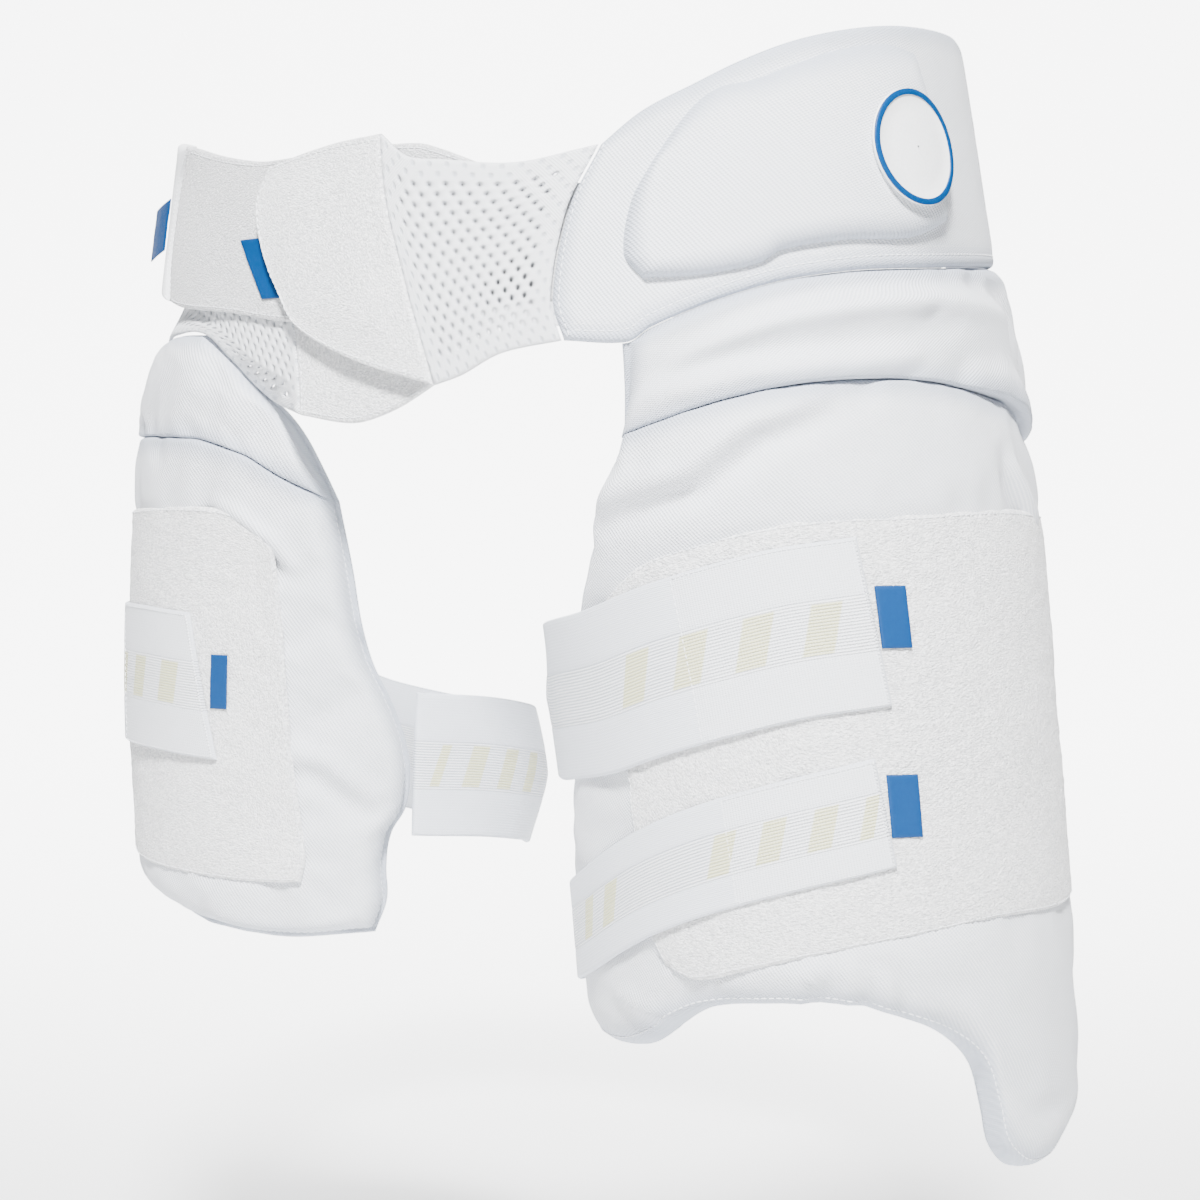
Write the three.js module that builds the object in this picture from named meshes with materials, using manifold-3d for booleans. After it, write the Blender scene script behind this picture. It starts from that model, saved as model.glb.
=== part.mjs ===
// Cricket thigh guard, two-leg pattern: a moulded hip pad and a long thigh pad for the lead leg,
// a short thigh pad for the rear leg, a belt that joins them and elastic straps behind each thigh.
// Millimetres, +Z up. The wearer faces -Y and the wearer's left is +X. The origin is the middle of
// the waist, at half the height of the belt.
import * as THREE from "three";
import { mergeVertices } from "three/addons/utils/BufferGeometryUtils.js";
import Module from "manifold-3d";

// Driving sizes
const waist = { halfWidth: 197, halfDepth: 140, rise: 100, roundness: 2.4 };
const thigh = { halfWidth: 100, halfDepth: 106, length: 400, roundness: 2 };
const leadSpread = 158; // from the middle of the body to the middle of the knee, each leg
const rearSpread = 128;
const seamGap = 0.7; // clearance where two sewn pieces lie on each other or edge to edge
const butt = 0.35; // clearance where one piece ends on the edge of the next
const skinGap = 1; // from the body to the inside of the pads
const pad = { thickness: 16, edge: 9, seam: 3, edgeShare: 0.42 };
const yoke = { start: 0.085, topFill: 0.36, seamFill: 1, edgeShare: 0.6, overhang: 0.35 };
const hip = { lift: 6.2, flange: 4, cushion: 7, edge: 7 };
const badge = { diameter: 51, thickness: 1.6, sides: 28 };
const loopThickness = 2;
const elastic = { thickness: 1.8, wide: 70, narrow: 45 };
const webLift = { rear: 0.8, inner: 3.3, outer: 6.6 }; // the three layers of the belt, from the body out
// Thicknesses of the belt's layers, and degrees left between two that meet edge to edge
const web = { mesh: 1.8, brushed: 2.4, belt: 2.2, aside: 0.3 };
const label = { thickness: 0.7, wide: 14, narrow: 10, tall: 26, gap: 0.35 };
const hole = { across: 3.8, columns: 9, rows: 8, margin: 0.08 };

// Colours of the finishes
const finish = {
  cover: { color: 0xf2f3f6, roughness: 0.85 },
  loop: { color: 0xf4f2ec, roughness: 0.95 },
  mesh: { color: 0xeef0f4, roughness: 0.9 },
  elastic: { color: 0xe9ebef, roughness: 0.8 },
  binding: { color: 0xf6f7f9, roughness: 0.85 },
  label: { color: 0x0a6fc0, roughness: 0.6 },
  rubber: { color: 0xf4f6f8, roughness: 0.5 },
};

const table = (columns, rows) =>
  rows.map((row) => Object.fromEntries(columns.map((name, i) => [name, row[i]])));
const edge = (rows) => table(["angle", "height"], rows);
const radians = THREE.MathUtils.degToRad;

// The value at x of a smooth curve through the rows, which stand in the order of their key.
function smooth(rows, key, name, x) {
  const last = rows.length - 1;
  const sign = Math.sign(rows[last][key] - rows[0][key]);
  if ((x - rows[0][key]) * sign <= 0) return rows[0][name];
  if ((x - rows[last][key]) * sign >= 0) return rows[last][name];
  let i = 0;
  while ((x - rows[i + 1][key]) * sign > 0) i += 1;
  const slope = (k) => {
    const a = rows[Math.max(k - 1, 0)];
    const b = rows[Math.min(k + 1, last)];
    return (b[name] - a[name]) / (b[key] - a[key]);
  };
  const step = rows[i + 1][key] - rows[i][key];
  const t = (x - rows[i][key]) / step;
  return THREE.MathUtils.clamp(t, 0, 1) === t
    ? (2 * t ** 3 - 3 * t ** 2 + 1) * rows[i][name] +
        (t ** 3 - 2 * t ** 2 + t) * slope(i) * step +
        (3 * t ** 2 - 2 * t ** 3) * rows[i + 1][name] +
        (t ** 3 - t ** 2) * slope(i + 1) * step
    : rows[i][name];
}

// A stretch of the body that the pieces lie on. Each section gives its height as a share of the
// length, its middle as shares of the spread and the half depth, and its half width and half depth
// as shares of the named ones. A point is given by its angle from the front, towards the wearer's
// left, its height and its lift off the body.
class Form {
  constructor(size, length, spread, rows) {
    this.size = size;
    this.length = length;
    this.spread = spread;
    this.rows = table(["height", "side", "back", "width", "depth"], rows);
  }

  radius(angle, z) {
    const height = z / this.length;
    const half = this.size.halfWidth * smooth(this.rows, "height", "width", height);
    const deep = this.size.halfDepth * smooth(this.rows, "height", "depth", height);
    const a = radians(angle);
    const power = this.size.roundness;
    const sum = Math.abs(Math.sin(a) / half) ** power + Math.abs(Math.cos(a) / deep) ** power;
    return sum ** (-1 / power);
  }

  at(angle, z, lift) {
    const height = z / this.length;
    const a = radians(angle);
    const reach = this.radius(angle, z) + lift;
    return new THREE.Vector3(
      this.spread * smooth(this.rows, "height", "side", height) + reach * Math.sin(a),
      this.size.halfDepth * smooth(this.rows, "height", "back", height) - reach * Math.cos(a),
      z,
    );
  }
}

const body = new Form(waist, waist.rise, 0, [
  [1.1, 0, 0, 0.904, 0.914],
  [0.6, 0, 0, 0.954, 0.957],
  [0, 0, 0, 1, 1],
  [-0.4, 0, -0.021, 1.01, 1.014],
  [-1.1, 0, -0.057, 1.01, 1.014],
]);
const lead = new Form(thigh, thigh.length, leadSpread, [
  [0.05, 0.62, -0.038, 0.97, 1.151],
  [-0.15, 0.677, -0.113, 1, 1.085],
  [-0.325, 0.775, -0.189, 1.01, 1],
  [-0.55, 0.882, -0.245, 0.955, 0.934],
  [-0.8, 0.958, -0.283, 0.93, 0.906],
  [-1.075, 1, -0.302, 0.91, 0.877],
]);
const rear = new Form(thigh, thigh.length, -rearSpread, [
  [0.05, 0.75, -0.038, 0.99, 1.151],
  [-0.15, 0.82, -0.075, 1.02, 1.085],
  [-0.325, 0.89, -0.113, 1, 1],
  [-0.55, 0.945, -0.132, 0.962, 0.953],
  [-0.8, 0.955, -0.132, 0.9, 0.925],
  [-1.075, 0.945, -0.132, 0.83, 0.868],
]);

// Outlines. Angles are degrees from the front and heights are shares of the form's length.
const hipLeft = edge([[34, 0.36], [29, 0.08], [27, -0.3], [29, -0.48]]);
const hipTop = edge([
  [34, 0.36], [40, 0.5], [47, 0.61], [54, 0.72], [62, 0.82], [72, 0.9], [82, 0.95], [96, 0.99],
  [114, 0.98],
]);
const hipRight = edge([[114, 0.98], [121, 0.6], [124, 0.2], [124, -0.04]]);
const hipBottom = edge([
  [29, -0.48], [38, -0.49], [41, -0.43], [48, -0.33], [55, -0.25], [60, -0.21], [68, -0.17],
  [79, -0.14], [101, -0.08], [124, -0.04],
]);
const cushionLeft = edge([[41, 0.28], [38, 0.11], [37, -0.12], [39.5, -0.22]]);
const cushionTop = edge([
  [41, 0.28], [46, 0.49], [50, 0.59], [55, 0.63], [60, 0.7], [67, 0.78], [75, 0.83], [80, 0.82],
]);
const cushionRight = edge([[80, 0.82], [82, 0.56], [83, 0.26], [82, 0.06]]);
const cushionBottom = edge([
  [39.5, -0.22], [47, -0.21], [54, -0.16], [57, -0.1], [65, -0.05], [75, -0.02], [82, 0.06],
]);
const badgePlace = { angle: 75, height: 0.37 };
const edgeLabel = { angle: 108, height: -0.87 };

const leadSeam = edge([
  [-7, -0.228], [6, -0.205], [18, -0.185], [31, -0.17], [45, -0.1625], [62, -0.1625],
  [80, -0.1725], [94, -0.1825], [111, -0.21], [125, -0.23],
]);
const leadPadLeft = edge([
  [-19, -0.3125], [-26, -0.3675], [-32, -0.4125], [-41, -0.515], [-55, -0.61], [-68, -0.7],
  [-74, -0.8], [-72, -0.86],
]);
const leadPadRight = edge([[126, -0.5], [127, -0.8], [125, -0.95]]);
const leadPadBottom = edge([
  [-72, -0.86], [-60, -0.895], [-45, -0.9], [-28, -0.885], [-7, -0.8325], [9, -0.82],
  [29, -0.8175], [41, -0.8325], [53, -0.855], [62, -0.89], [66, -0.94], [69, -0.985],
  [78, -1.015], [95, -1.015], [112, -0.99], [125, -0.95],
]);
const leadLoopLeft = edge([
  [-16, -0.3975], [-17.5, -0.5], [-18.5, -0.65], [-17.5, -0.74], [-13, -0.785],
]);
const leadLoopTop = edge([
  [-16, -0.3975], [-4, -0.355], [9, -0.3325], [21, -0.3175], [35, -0.3075], [50, -0.305],
  [78, -0.3], [100, -0.305], [121, -0.31],
]);
const leadLoopRight = edge([[121, -0.31], [122, -0.5], [122, -0.735]]);
const leadLoopBottom = edge([
  [-13, -0.785], [-5, -0.795], [7, -0.78], [19, -0.765], [40, -0.745], [64, -0.7325],
  [92, -0.7375], [122, -0.735],
]);

const flapLeft = edge([[-31, 0.37], [-33.5, 0.2], [-30, -0.06], [-25, -0.25]]);
const flapTop = edge([[-31, 0.37], [-25, 0.41], [-16, 0.45], [-7, 0.47]]);
const flapSeam = edge([[-7, 0.47], [-5, 0.17], [0, -0.19], [4, -0.46], [7, -0.66]]);
const flapBottom = edge([[-25, -0.25], [-22, -0.37], [-16, -0.47], [-6, -0.57], [7, -0.66]]);
const meshTop = edge([[-7, 0.47], [-1, 0.36], [7, 0.33], [21, 0.3], [34, 0.36]]);
const meshBottom = edge([[7, -0.66], [12, -0.62], [19, -0.53], [29, -0.48]]);
const innerLeft = edge([[-57, 0.56], [-61.5, 0.4], [-63.5, 0.08], [-61, -0.19]]);
const innerTop = edge([
  [-57, 0.56], [-48, 0.48], [-40, 0.43], [-34, 0.41], [-16, 0.42], [0, 0.42], [6, 0.38],
  [20, 0.25], [31, 0.2],
]);
const innerBottom = edge([
  [-61, -0.19], [-54, -0.24], [-40, -0.29], [-26, -0.35], [0, -0.36], [31, -0.3],
]);
const innerRight = edge([[31, 0.2], [31, -0.3]]);
const innerLift = table(["angle", "share"], [[-70, 1], [-62, 0.8], [-52, 0.3], [-42, 0], [40, 0]]);
const innerProud = 8; // how far the free end of the inner belt stands off the layer it starts from
const bindingLeft = edge([[-60.5, 0.59], [-65.5, 0.4], [-67.5, 0.08], [-65, -0.17]]);
const endTab = { angle: -65, turn: 5, top: 0.34, bottom: 0.08, droop: 0.04, flare: 9 };
const flapTab = { topAngle: -38.5, bottomAngle: -31.5, turn: 5, top: 0.05, bottom: -0.24 };
const tongueLeft = edge([[-27, -0.04], [-25.5, -0.35], [-24, -0.55], [-23, -0.78]]);
const tongueTop = edge([[-27, -0.04], [-10, -0.05], [8, -0.12]]);
const tongueRight = edge([[8, -0.12], [10, -0.4], [7, -0.64]]);
const tongueBottom = edge([[-23, -0.78], [-13, -0.82], [-8, -0.81], [-1, -0.75], [7, -0.64]]);
const hangerTop = edge([[-66, 0.32], [-45, 0.2], [-27, -0.04]]);
const hangerSeam = edge([
  [-46, -0.0975], [-31, -0.0925], [-14, -0.095], [-4, -0.1275], [3, -0.1575], [11, -0.19],
]);
const hangerBottom = edge([
  [-63, -0.3], [-55, -0.35], [-46, -0.45], [-41, -0.52], [-35, -0.65], [-28, -0.76],
]);
const hangerRight = edge([[-27.6, -0.04], [-26, -0.35], [-25, -0.55], [-28, -0.76]]);
const hangerLeft = edge([[-66, 0.32], [-66, 0], [-63, -0.3]]);
const hangerSeat = { lift: 5, from: 0.8 }; // where the mesh is sewn to the yoke's top edge
const backRoute = table(["angle", "top", "bottom", "lift"], [
  [-66.3, 0.32, -0.28, 0.16], [-110, 0.38, -0.24, 0.3], [-180, 0.42, -0.16, 0.6],
  [-235.85, 0.5, 0, 1],
]);

const rearTop = edge([[-85, -0.13], [-62, -0.108], [-43, -0.0975], [-31, -0.0925], [-14, -0.095]]);
const rearYokeRight = edge([
  [-14, -0.095], [-4, -0.1275], [3, -0.1575], [11, -0.19], [16, -0.2175], [22, -0.2625],
  [26, -0.295],
]);
const rearYokeLeft = edge([[-85, -0.13], [-88, -0.18], [-88, -0.222]]);
const rearSeam = edge([
  [-88, -0.222], [-65, -0.215], [-45, -0.215], [-20, -0.2175], [-7, -0.2225], [4, -0.24],
  [14, -0.2675], [26, -0.295],
]);
const rearPadLeft = edge([[-88, -0.4], [-84, -0.6], [-76, -0.76]]);
const rearPadRight = edge([
  [31, -0.375], [34.5, -0.44], [38.2, -0.4875], [43, -0.5275], [47.7, -0.575], [49.7, -0.62],
  [48.6, -0.665], [44.6, -0.695], [43.2, -0.735], [43.5, -0.775], [40, -0.815],
]);
const rearPadBottom = edge([
  [-76, -0.76], [-50, -0.785], [-25, -0.8], [-10, -0.812], [4, -0.8175], [20, -0.82],
  [40, -0.815],
]);
const rearLoopLeft = edge([[-70, -0.31], [-71, -0.5], [-66, -0.735]]);
const rearLoopTop = edge([
  [-70, -0.31], [-42, -0.305], [-12, -0.3], [1.5, -0.305], [8.5, -0.3225], [13.3, -0.35],
]);
const rearLoopRight = edge([
  [13.3, -0.35], [15.3, -0.41], [16.8, -0.46], [19.8, -0.6], [22.6, -0.715], [21.6, -0.747],
]);
const rearLoopBottom = edge([[-66, -0.735], [-35, -0.742], [6, -0.748], [21.6, -0.747]]);

// Straps: the height of the middle line, the lift as a share of the way from the body (0) to the
// face of the loop panel (1), and how far the edges cup in, as a share of the strap's width.
const route = (rows) => table(["angle", "height", "proud", "cup"], rows);
const upperRoute = route([
  [41, -0.415, 1, 0],
  [24, -0.4275, 1, 0],
  [9, -0.4475, 1, 0],
  [-4, -0.4675, 1, 0],
  [-22, -0.4975, 1, 0],
  [-41, -0.515, 1, 0],
  [-54, -0.521, 1, 0],
  [-63, -0.522, 1, 0.16],
  [-74, -0.522, 0.94, 0.2],
  [-90, -0.52, 0.78, 0.17],
  [-112, -0.515, 0.36, 0.05],
  [-140, -0.51, 0.14, 0],
  [-180, -0.505, 0.12, 0],
  [-233.3, -0.5, 0.16, 0],
]);
const lowerRoute = route([
  [39, -0.6125, 1, 0],
  [20, -0.635, 1, 0],
  [2, -0.6625, 1, 0],
  [-14, -0.695, 1, 0],
  [-39, -0.755, 1, 0],
  [-58, -0.785, 1, 0],
  [-76, -0.8, 0.95, 0],
  [-100, -0.805, 0.5, 0],
  [-130, -0.8, 0.18, 0],
  [-180, -0.79, 0.12, 0],
  [-232.5, -0.785, 0.16, 0],
]);
const rearRoute = route([
  [-3.2, -0.515, 1, 0],
  [-25, -0.51, 1, 0],
  [-55, -0.5125, 1, 0],
  [-78, -0.52, 1, 0],
  [-98, -0.54, 0.7, 0],
  [-122, -0.575, 0.3, 0],
  [-160, -0.645, 0.12, 0],
  [-215, -0.67, 0.12, 0],
  [-255, -0.645, 0.16, 0],
  [-287, -0.622, 0.16, 0],
  [-309.6, -0.612, 0.16, 0],
]);
const endSlant = { upper: 3, lower: 2.5, rear: 9 }; // degrees that the foot of a strap's end runs on

// A curve through the rows of an edge, from 0 to 1 along its length.
function along(form, rows) {
  let total = 0;
  const marks = rows.map((row, i) => {
    if (i > 0) {
      const before = rows[i - 1];
      const across = radians(row.angle - before.angle) * form.size.halfDepth;
      total += Math.hypot(across, (row.height - before.height) * form.length);
    }
    return { ...row, t: total };
  });
  marks.forEach((mark) => {
    mark.t /= total;
  });
  return (t) => ({
    angle: smooth(marks, "t", "angle", t),
    z: smooth(marks, "t", "height", t) * form.length,
  });
}

// The length of a line of points, which pointAt gives from 0 to 1.
function span(pointAt) {
  const pieces = 30;
  const points = Array.from({ length: pieces + 1 }, (_, i) => pointAt(i / pieces));
  return points.slice(1).reduce((sum, point, i) => sum + point.distanceTo(points[i]), 0);
}

// The length of an edge on its form.
function lengthOf(form, rows) {
  const curve = along(form, rows);
  return span((t) => form.at(curve(t).angle, curve(t).z, 0));
}

// A patch of a form between four edges: top and bottom run with the columns, left and right run down.
function patch(form, { top, bottom, left, right }) {
  const [t, b, l, r] = [top, bottom, left, right].map((rows) => along(form, rows));
  const mix = (name, u, v) =>
    (1 - v) * t(u)[name] +
    v * b(u)[name] +
    (1 - u) * l(v)[name] +
    u * r(v)[name] -
    (1 - u) * (1 - v) * t(0)[name] -
    u * (1 - v) * t(1)[name] -
    (1 - u) * v * b(0)[name] -
    u * v * b(1)[name];
  return (u, v, lift) => form.at(mix("angle", u, v), mix("z", u, v), lift);
}

// A band along a route, of a given width, whose first end is cut at a slant.
function band(form, rows, width, slant, fullLift) {
  return (u, v, lift) => {
    const angle = THREE.MathUtils.lerp(rows[0].angle, rows[rows.length - 1].angle, u);
    const middle = smooth(rows, "angle", "height", angle) * form.length;
    const proud = smooth(rows, "angle", "proud", angle) * fullLift;
    const cup = smooth(rows, "angle", "cup", angle) * width * Math.abs(2 * v - 1);
    const turn = slant * (v - 0.5) * (1 - u) ** 6;
    return form.at(angle + turn, middle + (0.5 - v) * width, proud - cup + lift);
  };
}

// Positions from 0 to 1 with two extra ones inside the rounding at each end that has one.
function steps(count, first, last) {
  const start = first > 0 ? [0, 0.28 * first] : [];
  const end = last > 0 ? [1 - 0.28 * last, 1] : [];
  const between = count + 1 - start.length - end.length;
  const middle = Array.from({ length: between }, (_, i) =>
    THREE.MathUtils.lerp(first, 1 - last, i / (between - 1)),
  );
  return [...start, ...middle, ...end];
}

// A closed solid between an inner and an outer sheet of points. The thickness falls to a share of
// itself along a quarter round, whose radius is given for the sides, the top and the bottom.
function shell(place, { columns, rows, lift, thickness, side = 0, top = 0, bottom = 0, share = 1, seam }) {
  const across = seam ?? span((t) => place(t, 0.5, lift(t, 0.5)));
  const down = span((t) => place(0.5, t, lift(0.5, t)));
  const us = steps(columns, side / across, side / across);
  const vs = steps(rows, top / down, bottom / down);
  const fullness = (u, v) => {
    const reach = [
      [u * across, side],
      [(1 - u) * across, side],
      [v * down, top],
      [(1 - v) * down, bottom],
    ].map(([gap, radius]) => (radius === 0 ? 1 : Math.min(1, gap / radius)));
    const near = Math.min(...reach);
    return share + (1 - share) * Math.sqrt(1 - (1 - near) ** 2);
  };
  const points = [];
  for (const outer of [0, 1])
    for (const v of vs)
      for (const u of us) {
        const rise = outer === 0 ? 0 : thickness(u, v) * fullness(u, v);
        points.push(place(u, v, lift(u, v) + rise));
      }
  const wide = us.length;
  const sheet = wide * vs.length;
  const at = (i, j, outer) => outer * sheet + j * wide + i;
  const faces = [];
  const quad = (a, b, c, d) => faces.push(a, b, c, a, c, d);
  for (let j = 0; j < vs.length - 1; j += 1)
    for (let i = 0; i < wide - 1; i += 1) {
      quad(at(i, j, 1), at(i, j + 1, 1), at(i + 1, j + 1, 1), at(i + 1, j, 1));
      quad(at(i, j, 0), at(i + 1, j, 0), at(i + 1, j + 1, 0), at(i, j + 1, 0));
    }
  const foot = vs.length - 1;
  for (let i = 0; i < wide - 1; i += 1) {
    quad(at(i, 0, 0), at(i, 0, 1), at(i + 1, 0, 1), at(i + 1, 0, 0));
    quad(at(i, foot, 0), at(i + 1, foot, 0), at(i + 1, foot, 1), at(i, foot, 1));
  }
  for (let j = 0; j < vs.length - 1; j += 1) {
    quad(at(0, j, 0), at(0, j + 1, 0), at(0, j + 1, 1), at(0, j, 1));
    quad(at(wide - 1, j, 0), at(wide - 1, j, 1), at(wide - 1, j + 1, 1), at(wide - 1, j + 1, 0));
  }
  return solid(points, faces);
}

// Turns points and triangles into a geometry whose faces point out.
function solid(points, faces) {
  let volume = 0;
  for (let i = 0; i < faces.length; i += 3) {
    const [a, b, c] = [points[faces[i]], points[faces[i + 1]], points[faces[i + 2]]];
    volume += a.dot(b.clone().cross(c));
  }
  if (volume < 0)
    for (let i = 0; i < faces.length; i += 3) [faces[i + 1], faces[i + 2]] = [faces[i + 2], faces[i + 1]];
  const geometry = new THREE.BufferGeometry().setFromPoints(points);
  geometry.setIndex(faces);
  geometry.computeVertexNormals();
  return geometry;
}

// A round disc that follows a form, with a rounded rim.
function disc(form, { angle, height }, { diameter, thickness, sides }, lift) {
  const rings = table(["out", "rise"], [[1, 0], [1, 0.6], [0.94, 1], [0.5, 1]]);
  const middle = height * form.length;
  const reach = form.radius(angle, middle) + lift;
  const on = (out, turn, rise) => {
    const side = (diameter / 2) * out * Math.sin(turn);
    const up = (diameter / 2) * out * Math.cos(turn);
    return form.at(angle + THREE.MathUtils.radToDeg(side / reach), middle + up, lift + rise * thickness);
  };
  const points = [on(0, 0, 0), on(0, 0, 1)];
  for (const ring of rings)
    for (let k = 0; k < sides; k += 1) points.push(on(ring.out, (2 * Math.PI * k) / sides, ring.rise));
  const at = (ring, k) => 2 + ring * sides + (k % sides);
  const faces = [];
  for (let k = 0; k < sides; k += 1) {
    faces.push(0, at(0, k), at(0, k + 1));
    faces.push(1, at(rings.length - 1, k + 1), at(rings.length - 1, k));
    for (let ring = 0; ring < rings.length - 1; ring += 1)
      faces.push(
        at(ring, k), at(ring + 1, k), at(ring + 1, k + 1),
        at(ring, k), at(ring + 1, k + 1), at(ring, k + 1),
      );
  }
  return solid(points, faces);
}

const wasm = await Module();
wasm.setup();

function toManifold(geometry) {
  const bare = new THREE.BufferGeometry();
  bare.setAttribute("position", geometry.getAttribute("position"));
  bare.setIndex(geometry.index);
  const merged = mergeVertices(bare, 1e-4);
  return new wasm.Manifold(
    new wasm.Mesh({
      numProp: 3,
      vertProperties: merged.attributes.position.array,
      triVerts: new Uint32Array(merged.index.array),
    }),
  );
}

function fromManifold(made) {
  const mesh = made.getMesh();
  const geometry = new THREE.BufferGeometry();
  geometry.setAttribute("position", new THREE.BufferAttribute(mesh.vertProperties, 3));
  geometry.setIndex(new THREE.BufferAttribute(mesh.triVerts, 1));
  geometry.computeVertexNormals();
  return geometry;
}

// The holes of the mesh: rows of square pins on their corners, each row half a step aside.
function pierce(geometry, place, lift, thickness) {
  const points = [];
  const faces = [];
  for (let row = 0; row < hole.rows; row += 1)
    for (let column = 0; column < hole.columns; column += 1) {
      const u = hole.margin + ((column + 0.25 + 0.5 * (row % 2)) / hole.columns) * (1 - 2 * hole.margin);
      const v = hole.margin + ((row + 0.5) / hole.rows) * (1 - 2 * hole.margin);
      const inner = place(u, v, lift - thickness);
      const outer = place(u, v, lift + 2 * thickness);
      const out = outer.clone().sub(inner).normalize();
      const up = new THREE.Vector3(0, 0, 1).projectOnPlane(out).normalize();
      const side = new THREE.Vector3().crossVectors(up, out);
      const first = points.length;
      for (const end of [inner, outer])
        for (const [a, b] of [[1, 0], [0, 1], [-1, 0], [0, -1]]) {
          const corner = end.clone().addScaledVector(side, (a * hole.across) / 2);
          points.push(corner.addScaledVector(up, (b * hole.across) / 2));
        }
      const box = [0, 2, 1, 0, 3, 2, 4, 5, 6, 4, 6, 7];
      for (let k = 0; k < 4; k += 1) {
        const next = (k + 1) % 4;
        box.push(k, next, 4 + next, k, 4 + next, 4 + k);
      }
      box.forEach((index) => faces.push(first + index));
    }
  return fromManifold(toManifold(geometry).subtract(toManifold(solid(points, faces))));
}

const guard = new THREE.Group();
guard.name = "cricket_thigh_guard";

function add(name, geometry, look) {
  const mesh = new THREE.Mesh(geometry, new THREE.MeshStandardMaterial({ ...look, metalness: 0 }));
  mesh.name = name;
  guard.add(mesh);
}

const constant = (value) => () => value;
const moved = (rows, dAngle, dHeight) =>
  rows.map((row) => ({ ...row, angle: row.angle + dAngle, height: row.height + dHeight }));

// A sheet of one thickness with square edges.
function sheet(place, columns, rows, lift, thickness) {
  return shell(place, { columns, rows, lift: constant(lift), thickness: constant(thickness) });
}

// Hip pad: a flange that lies on the body, a cushion on it and a round badge on the cushion.
const flangeTop = hip.lift + hip.flange;
const cushionFoot = flangeTop + seamGap;
const hipEdges = { top: hipTop, bottom: hipBottom, left: hipLeft, right: hipRight };
const cushionEdges = { top: cushionTop, bottom: cushionBottom, left: cushionLeft, right: cushionRight };
add(
  "hip_flange",
  shell(patch(body, hipEdges), {
    columns: 20,
    rows: 9,
    lift: constant(hip.lift),
    thickness: constant(hip.flange),
    side: hip.flange,
    top: hip.flange,
    bottom: hip.flange,
    share: 0.5,
  }),
  finish.cover,
);
add(
  "hip_cushion",
  shell(patch(body, cushionEdges), {
    columns: 15,
    rows: 11,
    lift: constant(cushionFoot),
    thickness: constant(hip.cushion),
    side: hip.edge,
    top: hip.edge,
    bottom: hip.edge,
    share: 0.15,
  }),
  finish.cover,
);
add("hip_badge", disc(body, badgePlace, badge, cushionFoot + hip.cushion + seamGap), finish.rubber);

// Lead leg: the yoke runs from the foot of the hip flange down to the seam of the thigh pad.
const padTop = skinGap + pad.thickness;
const panelFoot = padTop + seamGap;
const strapFoot = panelFoot + loopThickness + seamGap;
const hipFoot = along(body, hipBottom);
const leadSeamCurve = along(lead, leadSeam);
const leadYoke = (u, v, lift) => {
  const high = hipFoot(THREE.MathUtils.lerp(yoke.start, 1, u));
  const low = leadSeamCurve(u);
  const from = body.at(high.angle, high.z - seamGap, hip.lift + lift);
  const to = lead.at(low.angle, low.z, lift + skinGap);
  return from.lerp(to, v);
};
const yokeThickness = (u, v) =>
  pad.thickness * THREE.MathUtils.lerp(yoke.topFill, yoke.seamFill, Math.sqrt(v));
const overhang = (outward, v) =>
  pad.thickness * yoke.overhang * THREE.MathUtils.smoothstep(outward, 0.55, 0.85) * v;
const leadYokeThickness = (u, v) => yokeThickness(u, v) + overhang(u, v);
const rearYokeThickness = (u, v) => yokeThickness(u, v) + overhang(1 - u, Math.sqrt(v));
const leadSeamLength = lengthOf(lead, leadSeam);
const rearSeamLength = lengthOf(rear, rearSeam);
const leadPadTop = moved(leadSeam, 0, -butt / thigh.length);
const leadPadEdges = {
  top: leadPadTop,
  bottom: leadPadBottom,
  left: [leadPadTop[0], ...leadPadLeft],
  right: [leadPadTop[leadPadTop.length - 1], ...leadPadRight],
};
const leadLoopEdges = { top: leadLoopTop, bottom: leadLoopBottom, left: leadLoopLeft, right: leadLoopRight };
const padRounding = { side: pad.edge, top: pad.seam, bottom: pad.edge, share: pad.edgeShare };
const yokeRounding = { side: pad.edge, top: pad.seam, bottom: pad.seam, share: yoke.edgeShare };
add(
  "lead_yoke",
  shell(leadYoke, {
    columns: 24,
    rows: 6,
    lift: constant(0),
    thickness: leadYokeThickness,
    seam: leadSeamLength,
    ...yokeRounding,
  }),
  finish.cover,
);
add(
  "lead_thigh_pad",
  shell(patch(lead, leadPadEdges), {
    columns: 24,
    rows: 14,
    lift: constant(skinGap),
    thickness: constant(pad.thickness),
    seam: leadSeamLength,
    ...padRounding,
  }),
  finish.cover,
);
add("lead_loop_panel", sheet(patch(lead, leadLoopEdges), 18, 8, panelFoot, loopThickness), finish.loop);

// Elastic straps and their labels
function strap(form, rows, width, slant) {
  return sheet(band(form, rows, width, slant, strapFoot), 36, 2, 0, elastic.thickness);
}
function tab(form, angle, height, across, tall, lift) {
  const middle = height * form.length;
  const wide = THREE.MathUtils.radToDeg(across / (form.radius(angle, middle) + lift));
  const place = (u, v, rise) => form.at(angle + u * wide, middle + (0.5 - v) * tall, rise);
  return sheet(place, 2, 1, lift, label.thickness);
}
function strapTab(form, rows, slant, across, shift) {
  const angle = rows[0].angle + slant * 0.25 + label.gap;
  return tab(form, angle, rows[0].height + shift, across, label.tall, strapFoot);
}
add("lead_strap_upper", strap(lead, upperRoute, elastic.wide, endSlant.upper), finish.elastic);
add("lead_strap_lower", strap(lead, lowerRoute, elastic.narrow, endSlant.lower), finish.elastic);
add("lead_strap_upper_label", strapTab(lead, upperRoute, endSlant.upper, label.wide, 0.004), finish.label);
add("lead_strap_lower_label", strapTab(lead, lowerRoute, endSlant.lower, label.wide, 0.006), finish.label);
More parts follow.
